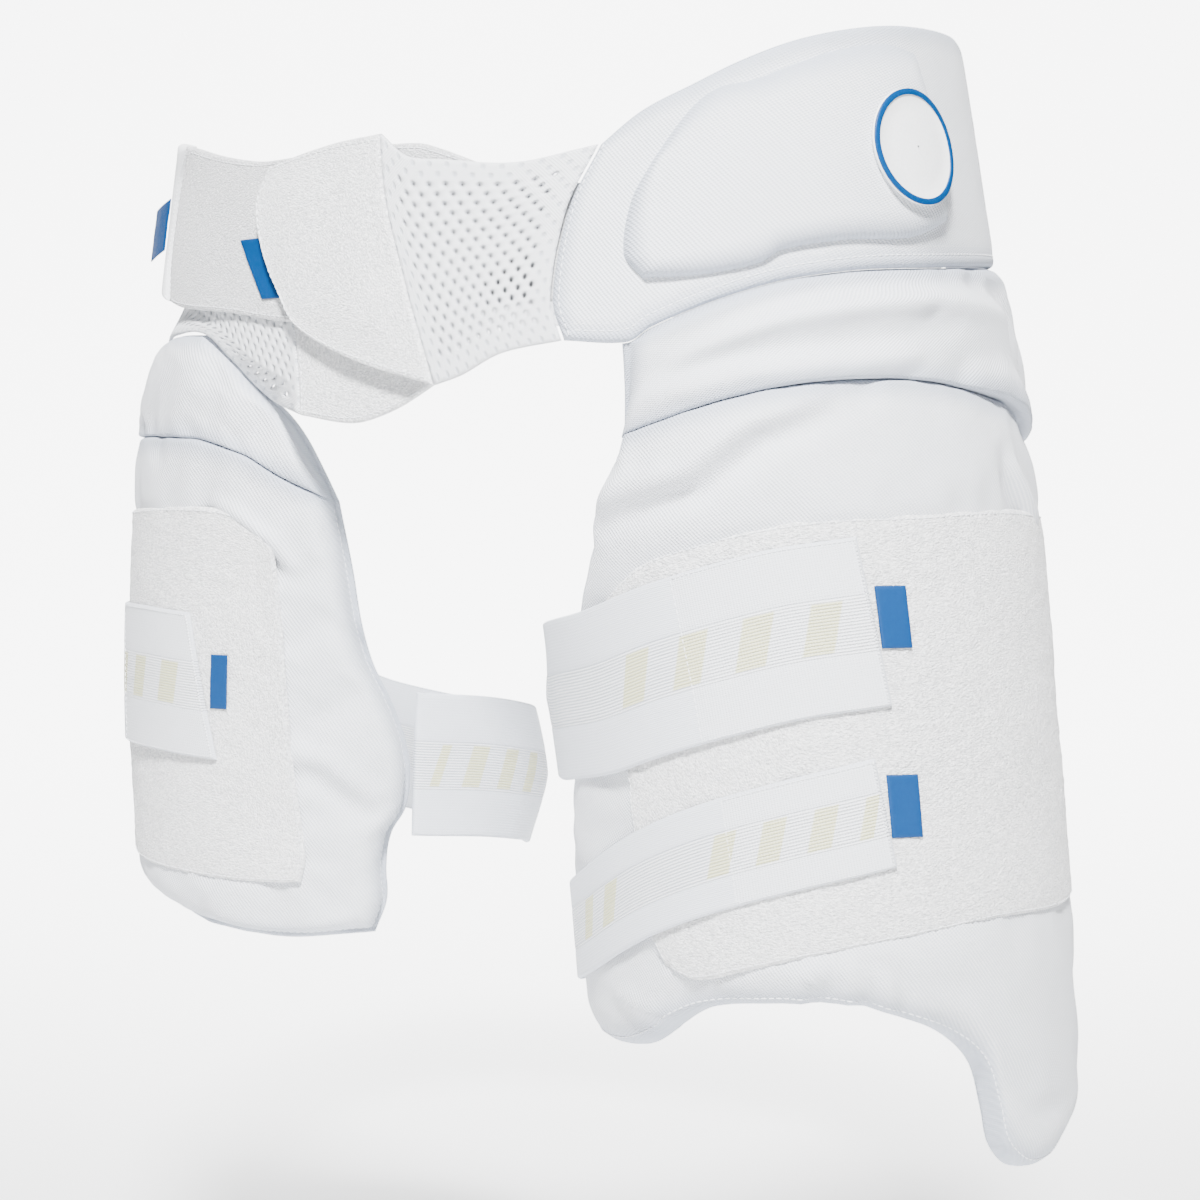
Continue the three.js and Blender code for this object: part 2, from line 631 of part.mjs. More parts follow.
add(
  "lead_edge_label",
  tab(lead, edgeLabel.angle, edgeLabel.height, label.wide, label.narrow, padTop + seamGap),
  finish.label,
);

// Rear leg
const rearPadTop = moved(rearSeam, 0, -butt / thigh.length);
const rearPadEdges = {
  top: rearPadTop,
  bottom: rearPadBottom,
  left: [rearPadTop[0], ...rearPadLeft],
  right: [rearPadTop[rearPadTop.length - 1], ...rearPadRight],
};
const rearYokeEdges = { top: rearTop, bottom: rearSeam, left: rearYokeLeft, right: rearYokeRight };
const rearLoopEdges = { top: rearLoopTop, bottom: rearLoopBottom, left: rearLoopLeft, right: rearLoopRight };
add(
  "rear_yoke",
  shell(patch(rear, rearYokeEdges), {
    columns: 16,
    rows: 6,
    lift: constant(skinGap),
    thickness: rearYokeThickness,
    seam: rearSeamLength,
    ...yokeRounding,
  }),
  finish.cover,
);
add(
  "rear_thigh_pad",
  shell(patch(rear, rearPadEdges), {
    columns: 16,
    rows: 15,
    lift: constant(skinGap),
    thickness: constant(pad.thickness),
    seam: rearSeamLength,
    ...padRounding,
  }),
  finish.cover,
);
add("rear_loop_panel", sheet(patch(rear, rearLoopEdges), 12, 8, panelFoot, loopThickness), finish.loop);
add("rear_strap", strap(rear, rearRoute, elastic.wide, endSlant.rear), finish.elastic);
add("rear_strap_label", strapTab(rear, rearRoute, endSlant.rear, label.narrow, 0.006), finish.label);

// Belt. Outer layer: the mesh and the brushed flap that ends it.
const outerFoot = webLift.outer;
const outerMesh = patch(body, {
  top: meshTop,
  bottom: meshBottom,
  left: moved(flapSeam, web.aside, 0),
  right: moved(hipLeft, -2 * web.aside, 0),
});
const meshSheet = sheet(outerMesh, 5, 4, outerFoot, web.mesh);
add("belt_mesh", pierce(meshSheet, outerMesh, outerFoot, web.mesh), finish.mesh);
const flapEdges = { top: flapTop, bottom: flapBottom, left: flapLeft, right: flapSeam };
add("belt_flap", sheet(patch(body, flapEdges), 8, 8, outerFoot, web.brushed), finish.loop);

// Middle layer: the inner belt, whose free end stands off the body and is bound, with two labels.
const standOff = (place) => (u, v, lift) => {
  const flat = place(u, v, 0);
  const angle = THREE.MathUtils.radToDeg(Math.atan2(flat.x, -flat.y));
  return place(u, v, lift + innerProud * smooth(innerLift, "angle", "share", angle));
};
const innerBelt = patch(body, { top: innerTop, bottom: innerBottom, left: innerLeft, right: innerRight });
const bindingRight = moved(innerLeft, -label.gap, 0);
const innerBinding = patch(body, {
  top: [bindingLeft[0], bindingRight[0]],
  bottom: [bindingLeft[3], bindingRight[3]],
  left: bindingLeft,
  right: bindingRight,
});
add("inner_belt", sheet(standOff(innerBelt), 16, 4, webLift.inner, web.belt), finish.loop);
add("inner_belt_binding", sheet(standOff(innerBinding), 1, 4, webLift.inner, web.brushed), finish.binding);
const endLabel = (u, v, lift) => {
  const height = THREE.MathUtils.lerp(endTab.top, endTab.bottom, v) - u * endTab.droop;
  const proud = innerProud * smooth(innerLift, "angle", "share", endTab.angle);
  const reach = webLift.inner + proud + u * endTab.flare + lift;
  return body.at(endTab.angle - u * endTab.turn, height * body.length, reach);
};
add("inner_belt_label", sheet(endLabel, 2, 1, web.brushed + butt, label.thickness), finish.label);
const flapLabel = (u, v, lift) => {
  const from = THREE.MathUtils.lerp(flapTab.topAngle, flapTab.bottomAngle, v);
  const height = THREE.MathUtils.lerp(flapTab.top, flapTab.bottom, v);
  return body.at(from + u * flapTab.turn, height * body.length, lift);
};
add(
  "belt_flap_label",
  sheet(flapLabel, 2, 1, webLift.inner + web.belt + butt, label.thickness),
  finish.label,
);

// Layer next to the body: the mesh that carries the rear pad, the tongue it ends in and the back of
// the belt, from the rear edge of the hip flange round to that mesh.
const hangerFoot = along(rear, hangerSeam);
const hanger = patch(body, { top: hangerTop, bottom: hangerBottom, left: hangerLeft, right: hangerRight });
const rearMesh = (u, v, lift) => {
  const low = hangerFoot(u);
  const to = rear.at(low.angle, low.z + seamGap, hangerSeat.lift + lift);
  const drawn = THREE.MathUtils.smoothstep(v, hangerSeat.from, 1);
  const shift = to.sub(hanger(u, 1, webLift.rear + lift)).multiplyScalar(drawn);
  return hanger(u, v, webLift.rear + lift).add(shift);
};
add("rear_mesh", sheet(rearMesh, 8, 4, 0, web.mesh), finish.mesh);
add(
  "rear_tongue",
  sheet(
    patch(body, { top: tongueTop, bottom: tongueBottom, left: tongueLeft, right: tongueRight }),
    8, 5, webLift.rear, web.mesh,
  ),
  finish.loop,
);
const backLift = (angle) => smooth(backRoute, "angle", "lift", angle) * hip.lift;
const backBelt = (u, v, lift) => {
  const angle = THREE.MathUtils.lerp(backRoute[0].angle, backRoute[backRoute.length - 1].angle, u);
  const top = smooth(backRoute, "angle", "top", angle);
  const bottom = smooth(backRoute, "angle", "bottom", angle);
  return body.at(angle, THREE.MathUtils.lerp(top, bottom, v) * body.length, backLift(angle) + lift);
};
add("back_belt", sheet(backBelt, 20, 3, 0, web.belt), finish.mesh);

export default guard;
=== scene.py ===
import math

import bpy
import numpy as np
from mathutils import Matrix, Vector


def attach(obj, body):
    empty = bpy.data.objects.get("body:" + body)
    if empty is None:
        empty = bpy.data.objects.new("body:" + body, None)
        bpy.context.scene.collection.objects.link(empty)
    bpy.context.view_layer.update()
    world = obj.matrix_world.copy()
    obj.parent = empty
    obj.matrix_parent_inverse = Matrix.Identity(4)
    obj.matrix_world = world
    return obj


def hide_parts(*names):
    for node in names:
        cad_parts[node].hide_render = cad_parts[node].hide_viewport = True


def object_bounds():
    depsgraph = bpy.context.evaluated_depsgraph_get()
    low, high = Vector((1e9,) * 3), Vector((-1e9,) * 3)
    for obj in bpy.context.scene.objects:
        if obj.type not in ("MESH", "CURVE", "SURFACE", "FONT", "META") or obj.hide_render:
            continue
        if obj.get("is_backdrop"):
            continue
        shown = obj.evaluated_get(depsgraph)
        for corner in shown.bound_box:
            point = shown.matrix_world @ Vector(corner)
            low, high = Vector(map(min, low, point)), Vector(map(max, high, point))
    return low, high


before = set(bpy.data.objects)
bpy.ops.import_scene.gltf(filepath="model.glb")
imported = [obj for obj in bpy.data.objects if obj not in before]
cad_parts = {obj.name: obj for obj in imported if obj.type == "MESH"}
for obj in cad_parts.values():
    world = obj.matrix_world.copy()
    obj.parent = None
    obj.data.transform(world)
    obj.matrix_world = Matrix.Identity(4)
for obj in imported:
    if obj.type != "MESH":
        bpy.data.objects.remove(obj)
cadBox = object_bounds()
print("frame loaded:", len(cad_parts), "nodes")

# Camera and room
cameraSpot = {"place": (0.574, -1.0074, -0.107), "turn": 29, "pitch": -3, "lens": 69.4}


def makeCamera():
    data = bpy.data.cameras.new("shotCamera")
    data.lens, data.sensor_width = cameraSpot["lens"], 36
    data.clip_start, data.clip_end = 0.05, 30
    camera = bpy.data.objects.new("shotCamera", data)
    bpy.context.scene.collection.objects.link(camera)
    camera.location = cameraSpot["place"]
    camera.rotation_euler = (math.radians(90 + cameraSpot["pitch"]), 0, math.radians(cameraSpot["turn"]))
    bpy.context.scene.camera = camera


makeCamera()


# Shapes of the wearer that the cloth lies on, in millimetres
def smoothCurve(keys, values, x):
    keys, values = np.asarray(keys, float), np.asarray(values, float)
    if keys[-1] < keys[0]:
        keys, values = keys[::-1], values[::-1]
    last = len(keys) - 1
    low = np.maximum(np.arange(last + 1) - 1, 0)
    high = np.minimum(np.arange(last + 1) + 1, last)
    slopes = (values[high] - values[low]) / (keys[high] - keys[low])
    x = np.clip(np.asarray(x, float), keys[0], keys[-1])
    i = np.clip(np.searchsorted(keys, x, side="right") - 1, 0, last - 1)
    step = keys[i + 1] - keys[i]
    t = (x - keys[i]) / step
    return (
        (2 * t**3 - 3 * t**2 + 1) * values[i]
        + (t**3 - 2 * t**2 + t) * slopes[i] * step
        + (3 * t**2 - 2 * t**3) * values[i + 1]
        + (t**3 - t**2) * slopes[i + 1] * step
    )


def ramp(x, start, end):
    t = np.clip((np.asarray(x, float) - start) / (end - start), 0, 1)
    return t * t * (3 - 2 * t)


def lerp(a, b, t):
    return a + (b - a) * t


class Form:
    def __init__(self, halfWidth, halfDepth, length, roundness, spread, rows):
        self.halfWidth, self.halfDepth, self.length = halfWidth, halfDepth, length
        self.roundness, self.spread = roundness, spread
        self.rows = np.array(rows, float)

    def row(self, column, z):
        return smoothCurve(self.rows[:, 0], self.rows[:, column], np.asarray(z, float) / self.length)

    def radius(self, angle, z):
        a = np.radians(angle)
        wide, deep = self.halfWidth * self.row(3, z), self.halfDepth * self.row(4, z)
        power = self.roundness
        total = np.abs(np.sin(a) / wide) ** power + np.abs(np.cos(a) / deep) ** power
        return total ** (-1 / power)

    def at(self, angle, z, lift):
        angle, z, lift = np.broadcast_arrays(angle, z, lift)
        a = np.radians(angle)
        reach = self.radius(angle, z) + lift
        x = self.spread * self.row(1, z) + reach * np.sin(a)
        y = self.halfDepth * self.row(2, z) - reach * np.cos(a)
        return np.stack([x, y, z], -1)


body = Form(197, 140, 100, 2.4, 0, [
    [1.1, 0, 0, 0.904, 0.914],
    [0.6, 0, 0, 0.954, 0.957],
    [0, 0, 0, 1, 1],
    [-0.4, 0, -0.021, 1.01, 1.014],
    [-1.1, 0, -0.057, 1.01, 1.014],
])
lead = Form(100, 106, 400, 2, 158, [
    [0.05, 0.62, -0.038, 0.97, 1.151],
    [-0.15, 0.677, -0.113, 1, 1.085],
    [-0.325, 0.775, -0.189, 1.01, 1],
    [-0.55, 0.882, -0.245, 0.955, 0.934],
    [-0.8, 0.958, -0.283, 0.93, 0.906],
    [-1.075, 1, -0.302, 0.91, 0.877],
])
rear = Form(100, 106, 400, 2, -128, [
    [0.05, 0.75, -0.038, 0.99, 1.151],
    [-0.15, 0.82, -0.075, 1.02, 1.085],
    [-0.325, 0.89, -0.113, 1, 1],
    [-0.55, 0.945, -0.132, 0.962, 0.953],
    [-0.8, 0.955, -0.132, 0.9, 0.925],
    [-1.075, 0.945, -0.132, 0.83, 0.868],
])


# Outlines: angle in degrees from the front, height as a share of the form's length
def along(form, rows):
    rows = np.array(rows, float)
    across = np.radians(np.diff(rows[:, 0])) * form.halfDepth
    steps = np.hypot(across, np.diff(rows[:, 1]) * form.length)
    marks = np.concatenate([[0], np.cumsum(steps)])
    marks /= marks[-1]
    return lambda t: (smoothCurve(marks, rows[:, 0], t), smoothCurve(marks, rows[:, 1], t) * form.length)


class Patch:
    def __init__(self, form, top, bottom, left, right):
        self.form = form
        self.edges = [along(form, rows) for rows in (top, bottom, left, right)]

    def field(self, u, v):
        top, bottom, left, right = self.edges
        mixed = []
        for k in (0, 1):
            mixed.append(
                (1 - v) * top(u)[k] + v * bottom(u)[k] + (1 - u) * left(v)[k] + u * right(v)[k]
                - (1 - u) * (1 - v) * top(0)[k] - u * (1 - v) * top(1)[k]
                - (1 - u) * v * bottom(0)[k] - u * v * bottom(1)[k]
            )
        return mixed

    def at(self, u, v, lift):
        angle, z = self.field(u, v)
        return self.form.at(angle, z, lift)


class Band:
    # A strap: its middle line, how proud it stands, how its edges cup and how its first end is cut
    def __init__(self, form, rows, width, slant, fullLift, late=(0, 1)):
        self.form, self.rows, self.late = form, np.array(rows, float), late
        self.width, self.slant, self.fullLift = width, slant, fullLift

    def field(self, u, v):
        angle = lerp(self.rows[0, 0], self.rows[-1, 0], u)
        middle = smoothCurve(self.rows[:, 0], self.rows[:, 1], angle) * self.form.length
        return angle + self.slant * (v - 0.5) * (1 - u) ** 6, middle + (0.5 - v) * self.width

    def at(self, u, v, lift):
        angle = lerp(self.rows[0, 0], self.rows[-1, 0], u)
        proud = smoothCurve(self.rows[:, 0], self.rows[:, 2], angle) * self.fullLift
        cup = smoothCurve(self.rows[:, 0], self.rows[:, 3], angle) * self.width * np.abs(2 * v - 1) ** 1.4
        cup = cup * np.where(np.asarray(v) > 0.5, ramp(-angle, *self.late), 1)
        turned, z = self.field(u, v)
        return self.form.at(turned, z, proud - cup + lift)


class Free:
    # A surface given by any function of u, v and lift
    def __init__(self, at):
        self.at = at

    def field(self, u, v):
        return np.zeros_like(u * v), np.zeros_like(u * v)


def moved(rows, angle, height):
    return [[a + angle, h + height] for a, h in rows]


# Unevenness: smooth noise between -1 and 1, with bumps about one scale apart
def rumple(x, y, scale, seed):
    size = 64
    table = np.random.default_rng(seed).uniform(-1, 1, (size, size))
    x, y = np.asarray(x, float) / scale, np.asarray(y, float) / scale
    i, j = np.floor(x).astype(int), np.floor(y).astype(int)
    fx, fy = x - i, y - j
    fx, fy = fx**3 * (fx * (fx * 6 - 15) + 10), fy**3 * (fy * (fy * 6 - 15) + 10)
    corner = lambda a, b: table[(i + a) % size, (j + b) % size]
    low = lerp(corner(0, 0), corner(1, 0), fx)
    high = lerp(corner(0, 1), corner(1, 1), fx)
    return lerp(low, high, fy)


# A fold along a line of points: a ridge with a hollow on one side, fading at both ends
def fold(x, y, line, width, height, hollow=0.6):
    line = np.array(line, float)
    lengths = np.hypot(*np.diff(line, axis=0).T)
    starts = np.concatenate([[0], np.cumsum(lengths)])
    best = np.full(np.shape(x), 1e9)
    side = np.zeros(np.shape(x))
    share = np.zeros(np.shape(x))
    for k, length in enumerate(lengths):
        (ax, ay), (bx, by) = line[k], line[k + 1]
        dx, dy = (bx - ax) / length, (by - ay) / length
        run = np.clip((x - ax) * dx + (y - ay) * dy, 0, length)
        gap = np.hypot(x - ax - run * dx, y - ay - run * dy)
        near = gap < best
        best = np.where(near, gap, best)
        side = np.where(near, np.sign((x - ax) * dy - (y - ay) * dx) * gap, side)
        share = np.where(near, (starts[k] + run) / starts[-1], share)
    fade = np.sin(np.pi * np.clip(share, 0, 1)) ** 0.6
    ridge = np.exp(-((side / width) ** 2))
    valley = np.exp(-(((side - 1.5 * width) / width) ** 2))
    reach = np.exp(-((np.maximum(best - np.abs(side), 0) / width) ** 2))
    return height * fade * reach * (ridge - hollow * valley)


# How full a pad is at a gap from its edge: a stitched flange, a groove and a round rise
def roundUp(gap, radius, share, flange):
    k = np.clip((gap - flange) / max(radius - flange, 1e-6), 0, 1)
    value = share + (1 - share) * np.sqrt(np.clip(1 - (1 - k) ** 2, 0, 1))
    if flange:
        value = value - 0.35 * share * np.exp(-(((gap - flange) / 1.1) ** 2))
    lip = np.clip(gap / 1.6, 0, 1)
    least = 0.35 if share < 0.6 else 0.88
    return value * (least + (1 - least) * np.sqrt(1 - (1 - lip) ** 2))


class Cloth:
    # A closed piece between an inner and an outer skin; relief(spot) adds millimetres outwards.
    # Each rim is (radius, share of the thickness at the edge, width of the flange).
    def __init__(self, place, lift, thickness, rims=None, relief=None, through=False, across=None):
        self.place, self.lift, self.thickness = place, lift, thickness
        self.rims = rims or {}
        self.relief, self.through, self.swell = relief, through, None
        t = np.linspace(0, 1, 60)
        length = lambda points: np.linalg.norm(np.diff(points, axis=0), axis=1).sum()
        self.across = across or length(place.at(t, t * 0 + 0.5, lift))
        self.down = length(place.at(t * 0 + 0.5, t, lift))

    def gaps(self, u, v):
        return {"left": u * self.across, "right": (1 - u) * self.across,
                "top": v * self.down, "bottom": (1 - v) * self.down}

    def fullness(self, u, v):
        full = np.ones(np.broadcast(u, v).shape)
        for side, gap in self.gaps(u, v).items():
            if side in self.rims:
                full = np.minimum(full, roundUp(gap, *self.rims[side]))
        return full

    def wave(self, u, v):
        value = np.zeros(np.broadcast(u, v).shape)
        if self.relief:
            angle, z = self.place.field(u, v)
            spot = {"u": u, "v": v, "s": u * self.across, "t": v * self.down, "angle": angle, "z": z,
                    "rim": self.rim(u, v)}
            value = value + self.relief(spot)
        if self.swell is not None:
            value = value + spread(self.swell, u, v)
        return value

    def rim(self, u, v):
        return np.minimum(
            np.minimum(u, 1 - u) * self.across, np.minimum(v, 1 - v) * self.down
        )

    def skin(self, u, v, extra=0):
        u, v = np.broadcast_arrays(np.asarray(u, float), np.asarray(v, float))
        thick = self.thickness(u, v) if callable(self.thickness) else self.thickness
        return self.place.at(u, v, self.lift + thick * self.fullness(u, v) + self.wave(u, v) + extra)

    def under(self, u, v):
        return self.place.at(u, v, self.lift + (self.wave(u, v) if self.through else 0))

    def marks(self, length, spacing, first, last):
        inside = np.array([0, 0.02, 0.07, 0.13, 0.2, 0.28, 0.37, 0.47, 0.58, 0.7, 0.84])
        start = inside * first if first else np.array([0.0])
        end = length - (inside * last)[::-1] if last else np.array([length])
        count = max(2, round((length - first - last) / spacing))
        middle = np.linspace(first, length - last, count + 1)
        middle = middle[(0 if first else 1):(None if last else -1)]
        return np.concatenate([start, middle, end]) / length

    def build(self, name, spacing, material, node, slot, flow=None):
        radius = lambda side: self.rims[side][0] if side in self.rims else 0
        stepAcross, stepDown = spacing if isinstance(spacing, tuple) else (spacing, spacing)
        us = self.marks(self.across, stepAcross, radius("left"), radius("right"))
        vs = self.marks(self.down, stepDown, radius("top"), radius("bottom"))
        u, v = np.meshgrid(us, vs)
        outer, inner = self.skin(u, v), self.under(u, v)
        points = np.concatenate([outer.reshape(-1, 3), inner.reshape(-1, 3)])
        faces = shellFaces(len(us), len(vs))
        angle, z = self.place.field(u, v)
        if flow:
            lay = flow(u, v, angle, z)
        elif isinstance(self.place, Free):
            lay = (u * self.across, v * self.down)
        else:
            lay = (np.radians(angle) * self.place.form.halfDepth, z)
        cloth = np.stack([lay[0], lay[1], self.rim(u, v)], -1).reshape(-1, 3)
        return makePiece(name, points, faces, np.concatenate([cloth, cloth]), material, node)


def shellFaces(wide, tall):
    grid = np.arange(wide * tall).reshape(tall, wide)
    a, b, c, d = grid[:-1, :-1], grid[1:, :-1], grid[1:, 1:], grid[:-1, 1:]
    outer = np.stack([a, b, c, d], -1).reshape(-1, 4)
    inner = outer[:, ::-1] + wide * tall
    ring = np.concatenate([grid[0, :-1], grid[:-1, -1], grid[-1, :0:-1], grid[:0:-1, 0]])
    after = np.roll(ring, -1)
    rim = np.stack([ring, after, after + wide * tall, ring + wide * tall], -1)
    return np.concatenate([outer, inner, rim])


def placePiece(name, mesh, cloth, material, node):
    # The cloth attribute holds the flat place of each point, which the finishes follow
    layer = mesh.attributes.new("cloth", "FLOAT_VECTOR", "POINT")
    layer.data.foreach_set("vector", (cloth * 0.001).astype(np.float32).ravel())
    mesh.polygons.foreach_set("use_smooth", np.full(len(mesh.polygons), True))
    mesh.materials.append(material)
    mesh.update(calc_edges=True)
    piece = bpy.data.objects.new(name, mesh)
    bpy.context.scene.collection.objects.link(piece)
    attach(piece, "root")
    if node:
        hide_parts(node)
    return piece


def makePiece(name, points, faces, cloth, material, node):
    mesh = bpy.data.meshes.new(name)
    corner = points[faces[:, :3]]
    volume = np.einsum("ij,ij->i", corner[:, 0], np.cross(corner[:, 1], corner[:, 2])).sum()
    faces = faces if volume > 0 else faces[:, ::-1]
    mesh.vertices.add(len(points))
    mesh.vertices.foreach_set("co", (points * 0.001).astype(np.float32).ravel())
    mesh.loops.add(faces.size)
    mesh.loops.foreach_set("vertex_index", faces.astype(np.int32).ravel())
    mesh.polygons.add(len(faces))
    mesh.polygons.foreach_set("loop_start", np.arange(0, faces.size, faces.shape[1], dtype=np.int32))
    mesh.validate()
    return placePiece(name, mesh, cloth, material, node)


def declareSheet(place, lift):
    # The cut is measured on the smooth surface, before any folds
    u, v = np.meshgrid(np.linspace(0, 1, 41), np.linspace(0, 1, 41))
    grid = place.at(u, v, lift)
    wide = np.linalg.norm(np.diff(grid, axis=1), axis=2).sum(1).max()
    long = np.linalg.norm(np.diff(grid, axis=0), axis=2).sum(0).max()


def spread(grid, u, v):
    # Reads a coarse grid of values smoothly at any u and v
    tall, wide = grid.shape
    x, y = np.clip(u, 0, 1) * (wide - 1), np.clip(v, 0, 1) * (tall - 1)
    i, j = np.floor(x).astype(int), np.floor(y).astype(int)
    fx, fy = x - i, y - j
    total = 0
    for a in (-1, 0, 1, 2):
        for b in (-1, 0, 1, 2):
            value = grid[np.clip(j + b, 0, tall - 1), np.clip(i + a, 0, wide - 1)]
            total = total + bell(fx - a) * bell(fy - b) * value
    return total


def bell(t):
    t = np.abs(t)
    return np.where(t < 1, 2 / 3 - t**2 + t**3 / 2, np.where(t < 2, (2 - t) ** 3 / 6, 0))


# Settling: the cover of a pad is simulated as cloth, a little larger than the foam and blown up
# softly, held along its seams and under what is sewn on it. What comes back is kept as a swell.
settling = {"cell": 5.0, "frames": 20, "pressure": 3.0, "larger": 0.035, "mass": 0.25, "stiffness": 10.0,
            "bending": 0.25, "quality": 5, "firm": 4.5}


def settle(cloth, cap, held):
    cell = settling["cell"]
    wide, tall = round(cloth.across / cell) + 1, round(cloth.down / cell) + 1
    u, v = np.meshgrid(np.linspace(0, 1, wide), np.linspace(0, 1, tall))
    outer, inner = cloth.skin(u, v).reshape(-1, 3), cloth.under(u, v).reshape(-1, 3)
    out = cloth.skin(u, v, 1).reshape(-1, 3) - outer
    rest = np.concatenate([outer, inner])
    faces = shellFaces(wide, tall)
    mesh = bpy.data.meshes.new("settling")
    mesh.from_pydata((rest * 0.001).tolist(), [], faces.tolist())
    mesh.update(calc_edges=True)
    pad = bpy.data.objects.new("settling", mesh)
    scene = bpy.context.scene
    scene.collection.objects.link(pad)
    group = pad.vertex_groups.new(name="held")
    angle, z = cloth.place.field(u, v)
    firm = (cloth.rim(u, v) < settling["firm"]) | held(u, v, angle, z)
    group.add(np.flatnonzero(firm.ravel()).tolist(), 1.0, "REPLACE")
    group.add(list(range(wide * tall, 2 * wide * tall)), 1.0, "REPLACE")
    modifier = pad.modifiers.new("cloth", "CLOTH")
    fabric = modifier.settings
    fabric.quality, fabric.mass = settling["quality"], settling["mass"]
    fabric.tension_stiffness = fabric.compression_stiffness = settling["stiffness"]
    fabric.shear_stiffness, fabric.bending_stiffness = settling["stiffness"] / 2, settling["bending"]
    fabric.vertex_group_mass = "held"
    fabric.shrink_min = -settling["larger"]
    fabric.use_pressure, fabric.uniform_pressure_force = True, settling["pressure"]
    fabric.effector_weights.gravity = 0
    modifier.collision_settings.use_collision = False
    for number in range(1, settling["frames"] + 1):
        scene.frame_set(number)
    shaped = pad.evaluated_get(bpy.context.evaluated_depsgraph_get())
    got = np.zeros(len(rest) * 3)
    shaped.data.vertices.foreach_get("co", got)
    rise = ((got.reshape(-1, 3) * 1000 - rest)[:wide * tall] * out).sum(-1)
    cloth.swell = (cap * np.tanh(rise / cap)).reshape(tall, wide)
    print("settled", cloth.swell.min().round(2), cloth.swell.max().round(2), "mm")
    bpy.data.objects.remove(pad)
    scene.frame_set(1)


def nothing(u, v, angle, z):
    # Nothing is held but the seams
    return np.zeros(np.shape(u), bool)


# Whether points lie inside the outline of a sewn-on patch
def inside(patch, angle, z):
    t = np.linspace(0, 1, 40)
    top, bottom, left, right = patch.edges
    run = lambda k: np.concatenate([top(t)[k], right(t)[k], bottom(t)[k][::-1], left(t)[k][::-1]])
    ring = [run(0), run(1)]
    hit = np.zeros(np.shape(angle), bool)
    for ax, az, bx, bz in zip(*ring, np.roll(ring[0], -1), np.roll(ring[1], -1)):
        if az != bz:
            crosses = ((az > z) != (bz > z)) & (angle < (bx - ax) * (z - az) / (bz - az) + ax)
            hit ^= crosses
    return hit


# Threads: each stitch is a small rounded bead along a line on a skin
def stitchRow(skin, us, vs, length, gap, width):
    points = skin(us, vs, 0.15)
    out = skin(us, vs, 1.15) - points
    out /= np.linalg.norm(out, axis=1)[:, None]
    marks = np.concatenate([[0], np.cumsum(np.linalg.norm(np.diff(points, axis=0), axis=1))])
    pitch = length + gap
    count = int(marks[-1] / pitch)
    centres = (np.arange(count) + 0.5) * marks[-1] / max(count, 1)
    at = lambda values, where: np.stack([np.interp(where, marks, values[:, k]) for k in range(3)], -1)
    middle, normal = at(points, centres), at(out, centres)
    run = at(points, centres + length / 2) - at(points, centres - length / 2)
    run /= np.maximum(np.linalg.norm(run, axis=1), 1e-9)[:, None]
    aside = np.cross(normal, run)
    return beads(middle, run, aside, normal, length, width)


def beads(middle, run, aside, normal, length, width):
    sides = 6
    rings = [(-0.5, 0.0), (-0.42, 0.75), (0, 1), (0.42, 0.75), (0.5, 0.0)]
    turn = np.arange(sides) * 2 * np.pi / sides
    local = []
    for shift, fat in rings:
        fat = max(fat, 0.05)
        local += [(shift * length, np.cos(a) * fat * width / 2, np.sin(a) * fat * width / 2) for a in turn]
    local = np.array(local)
    points = (
        middle[:, None] + local[None, :, :1] * run[:, None] + local[None, :, 1:2] * aside[:, None]
        + local[None, :, 2:] * normal[:, None]
    )
    faces = []
    for r in range(len(rings) - 1):
        for k in range(sides):
            n = (k + 1) % sides
            faces.append([r * sides + k, r * sides + n, (r + 1) * sides + n, (r + 1) * sides + k])
    faces.append([3, 2, 1, 0])
    faces.append([5, 4, 3, 0])
    top = (len(rings) - 1) * sides
    faces.append([top, top + 1, top + 2, top + 3])
    faces.append([top, top + 3, top + 4, top + 5])
    faces = np.array(faces)
    shift = (np.arange(len(middle)) * len(local))[:, None, None]
    return points.reshape(-1, 3), (faces[None] + shift).reshape(-1, 4)


def sew(name, rows, material):
    points, faces, count = [], [], 0
    for p, f in rows:
        points.append(p)
        faces.append(f + count)
        count += len(p)
    points, faces = np.concatenate(points), np.concatenate(faces)
    return makePiece(name, points, faces, points, material, None)


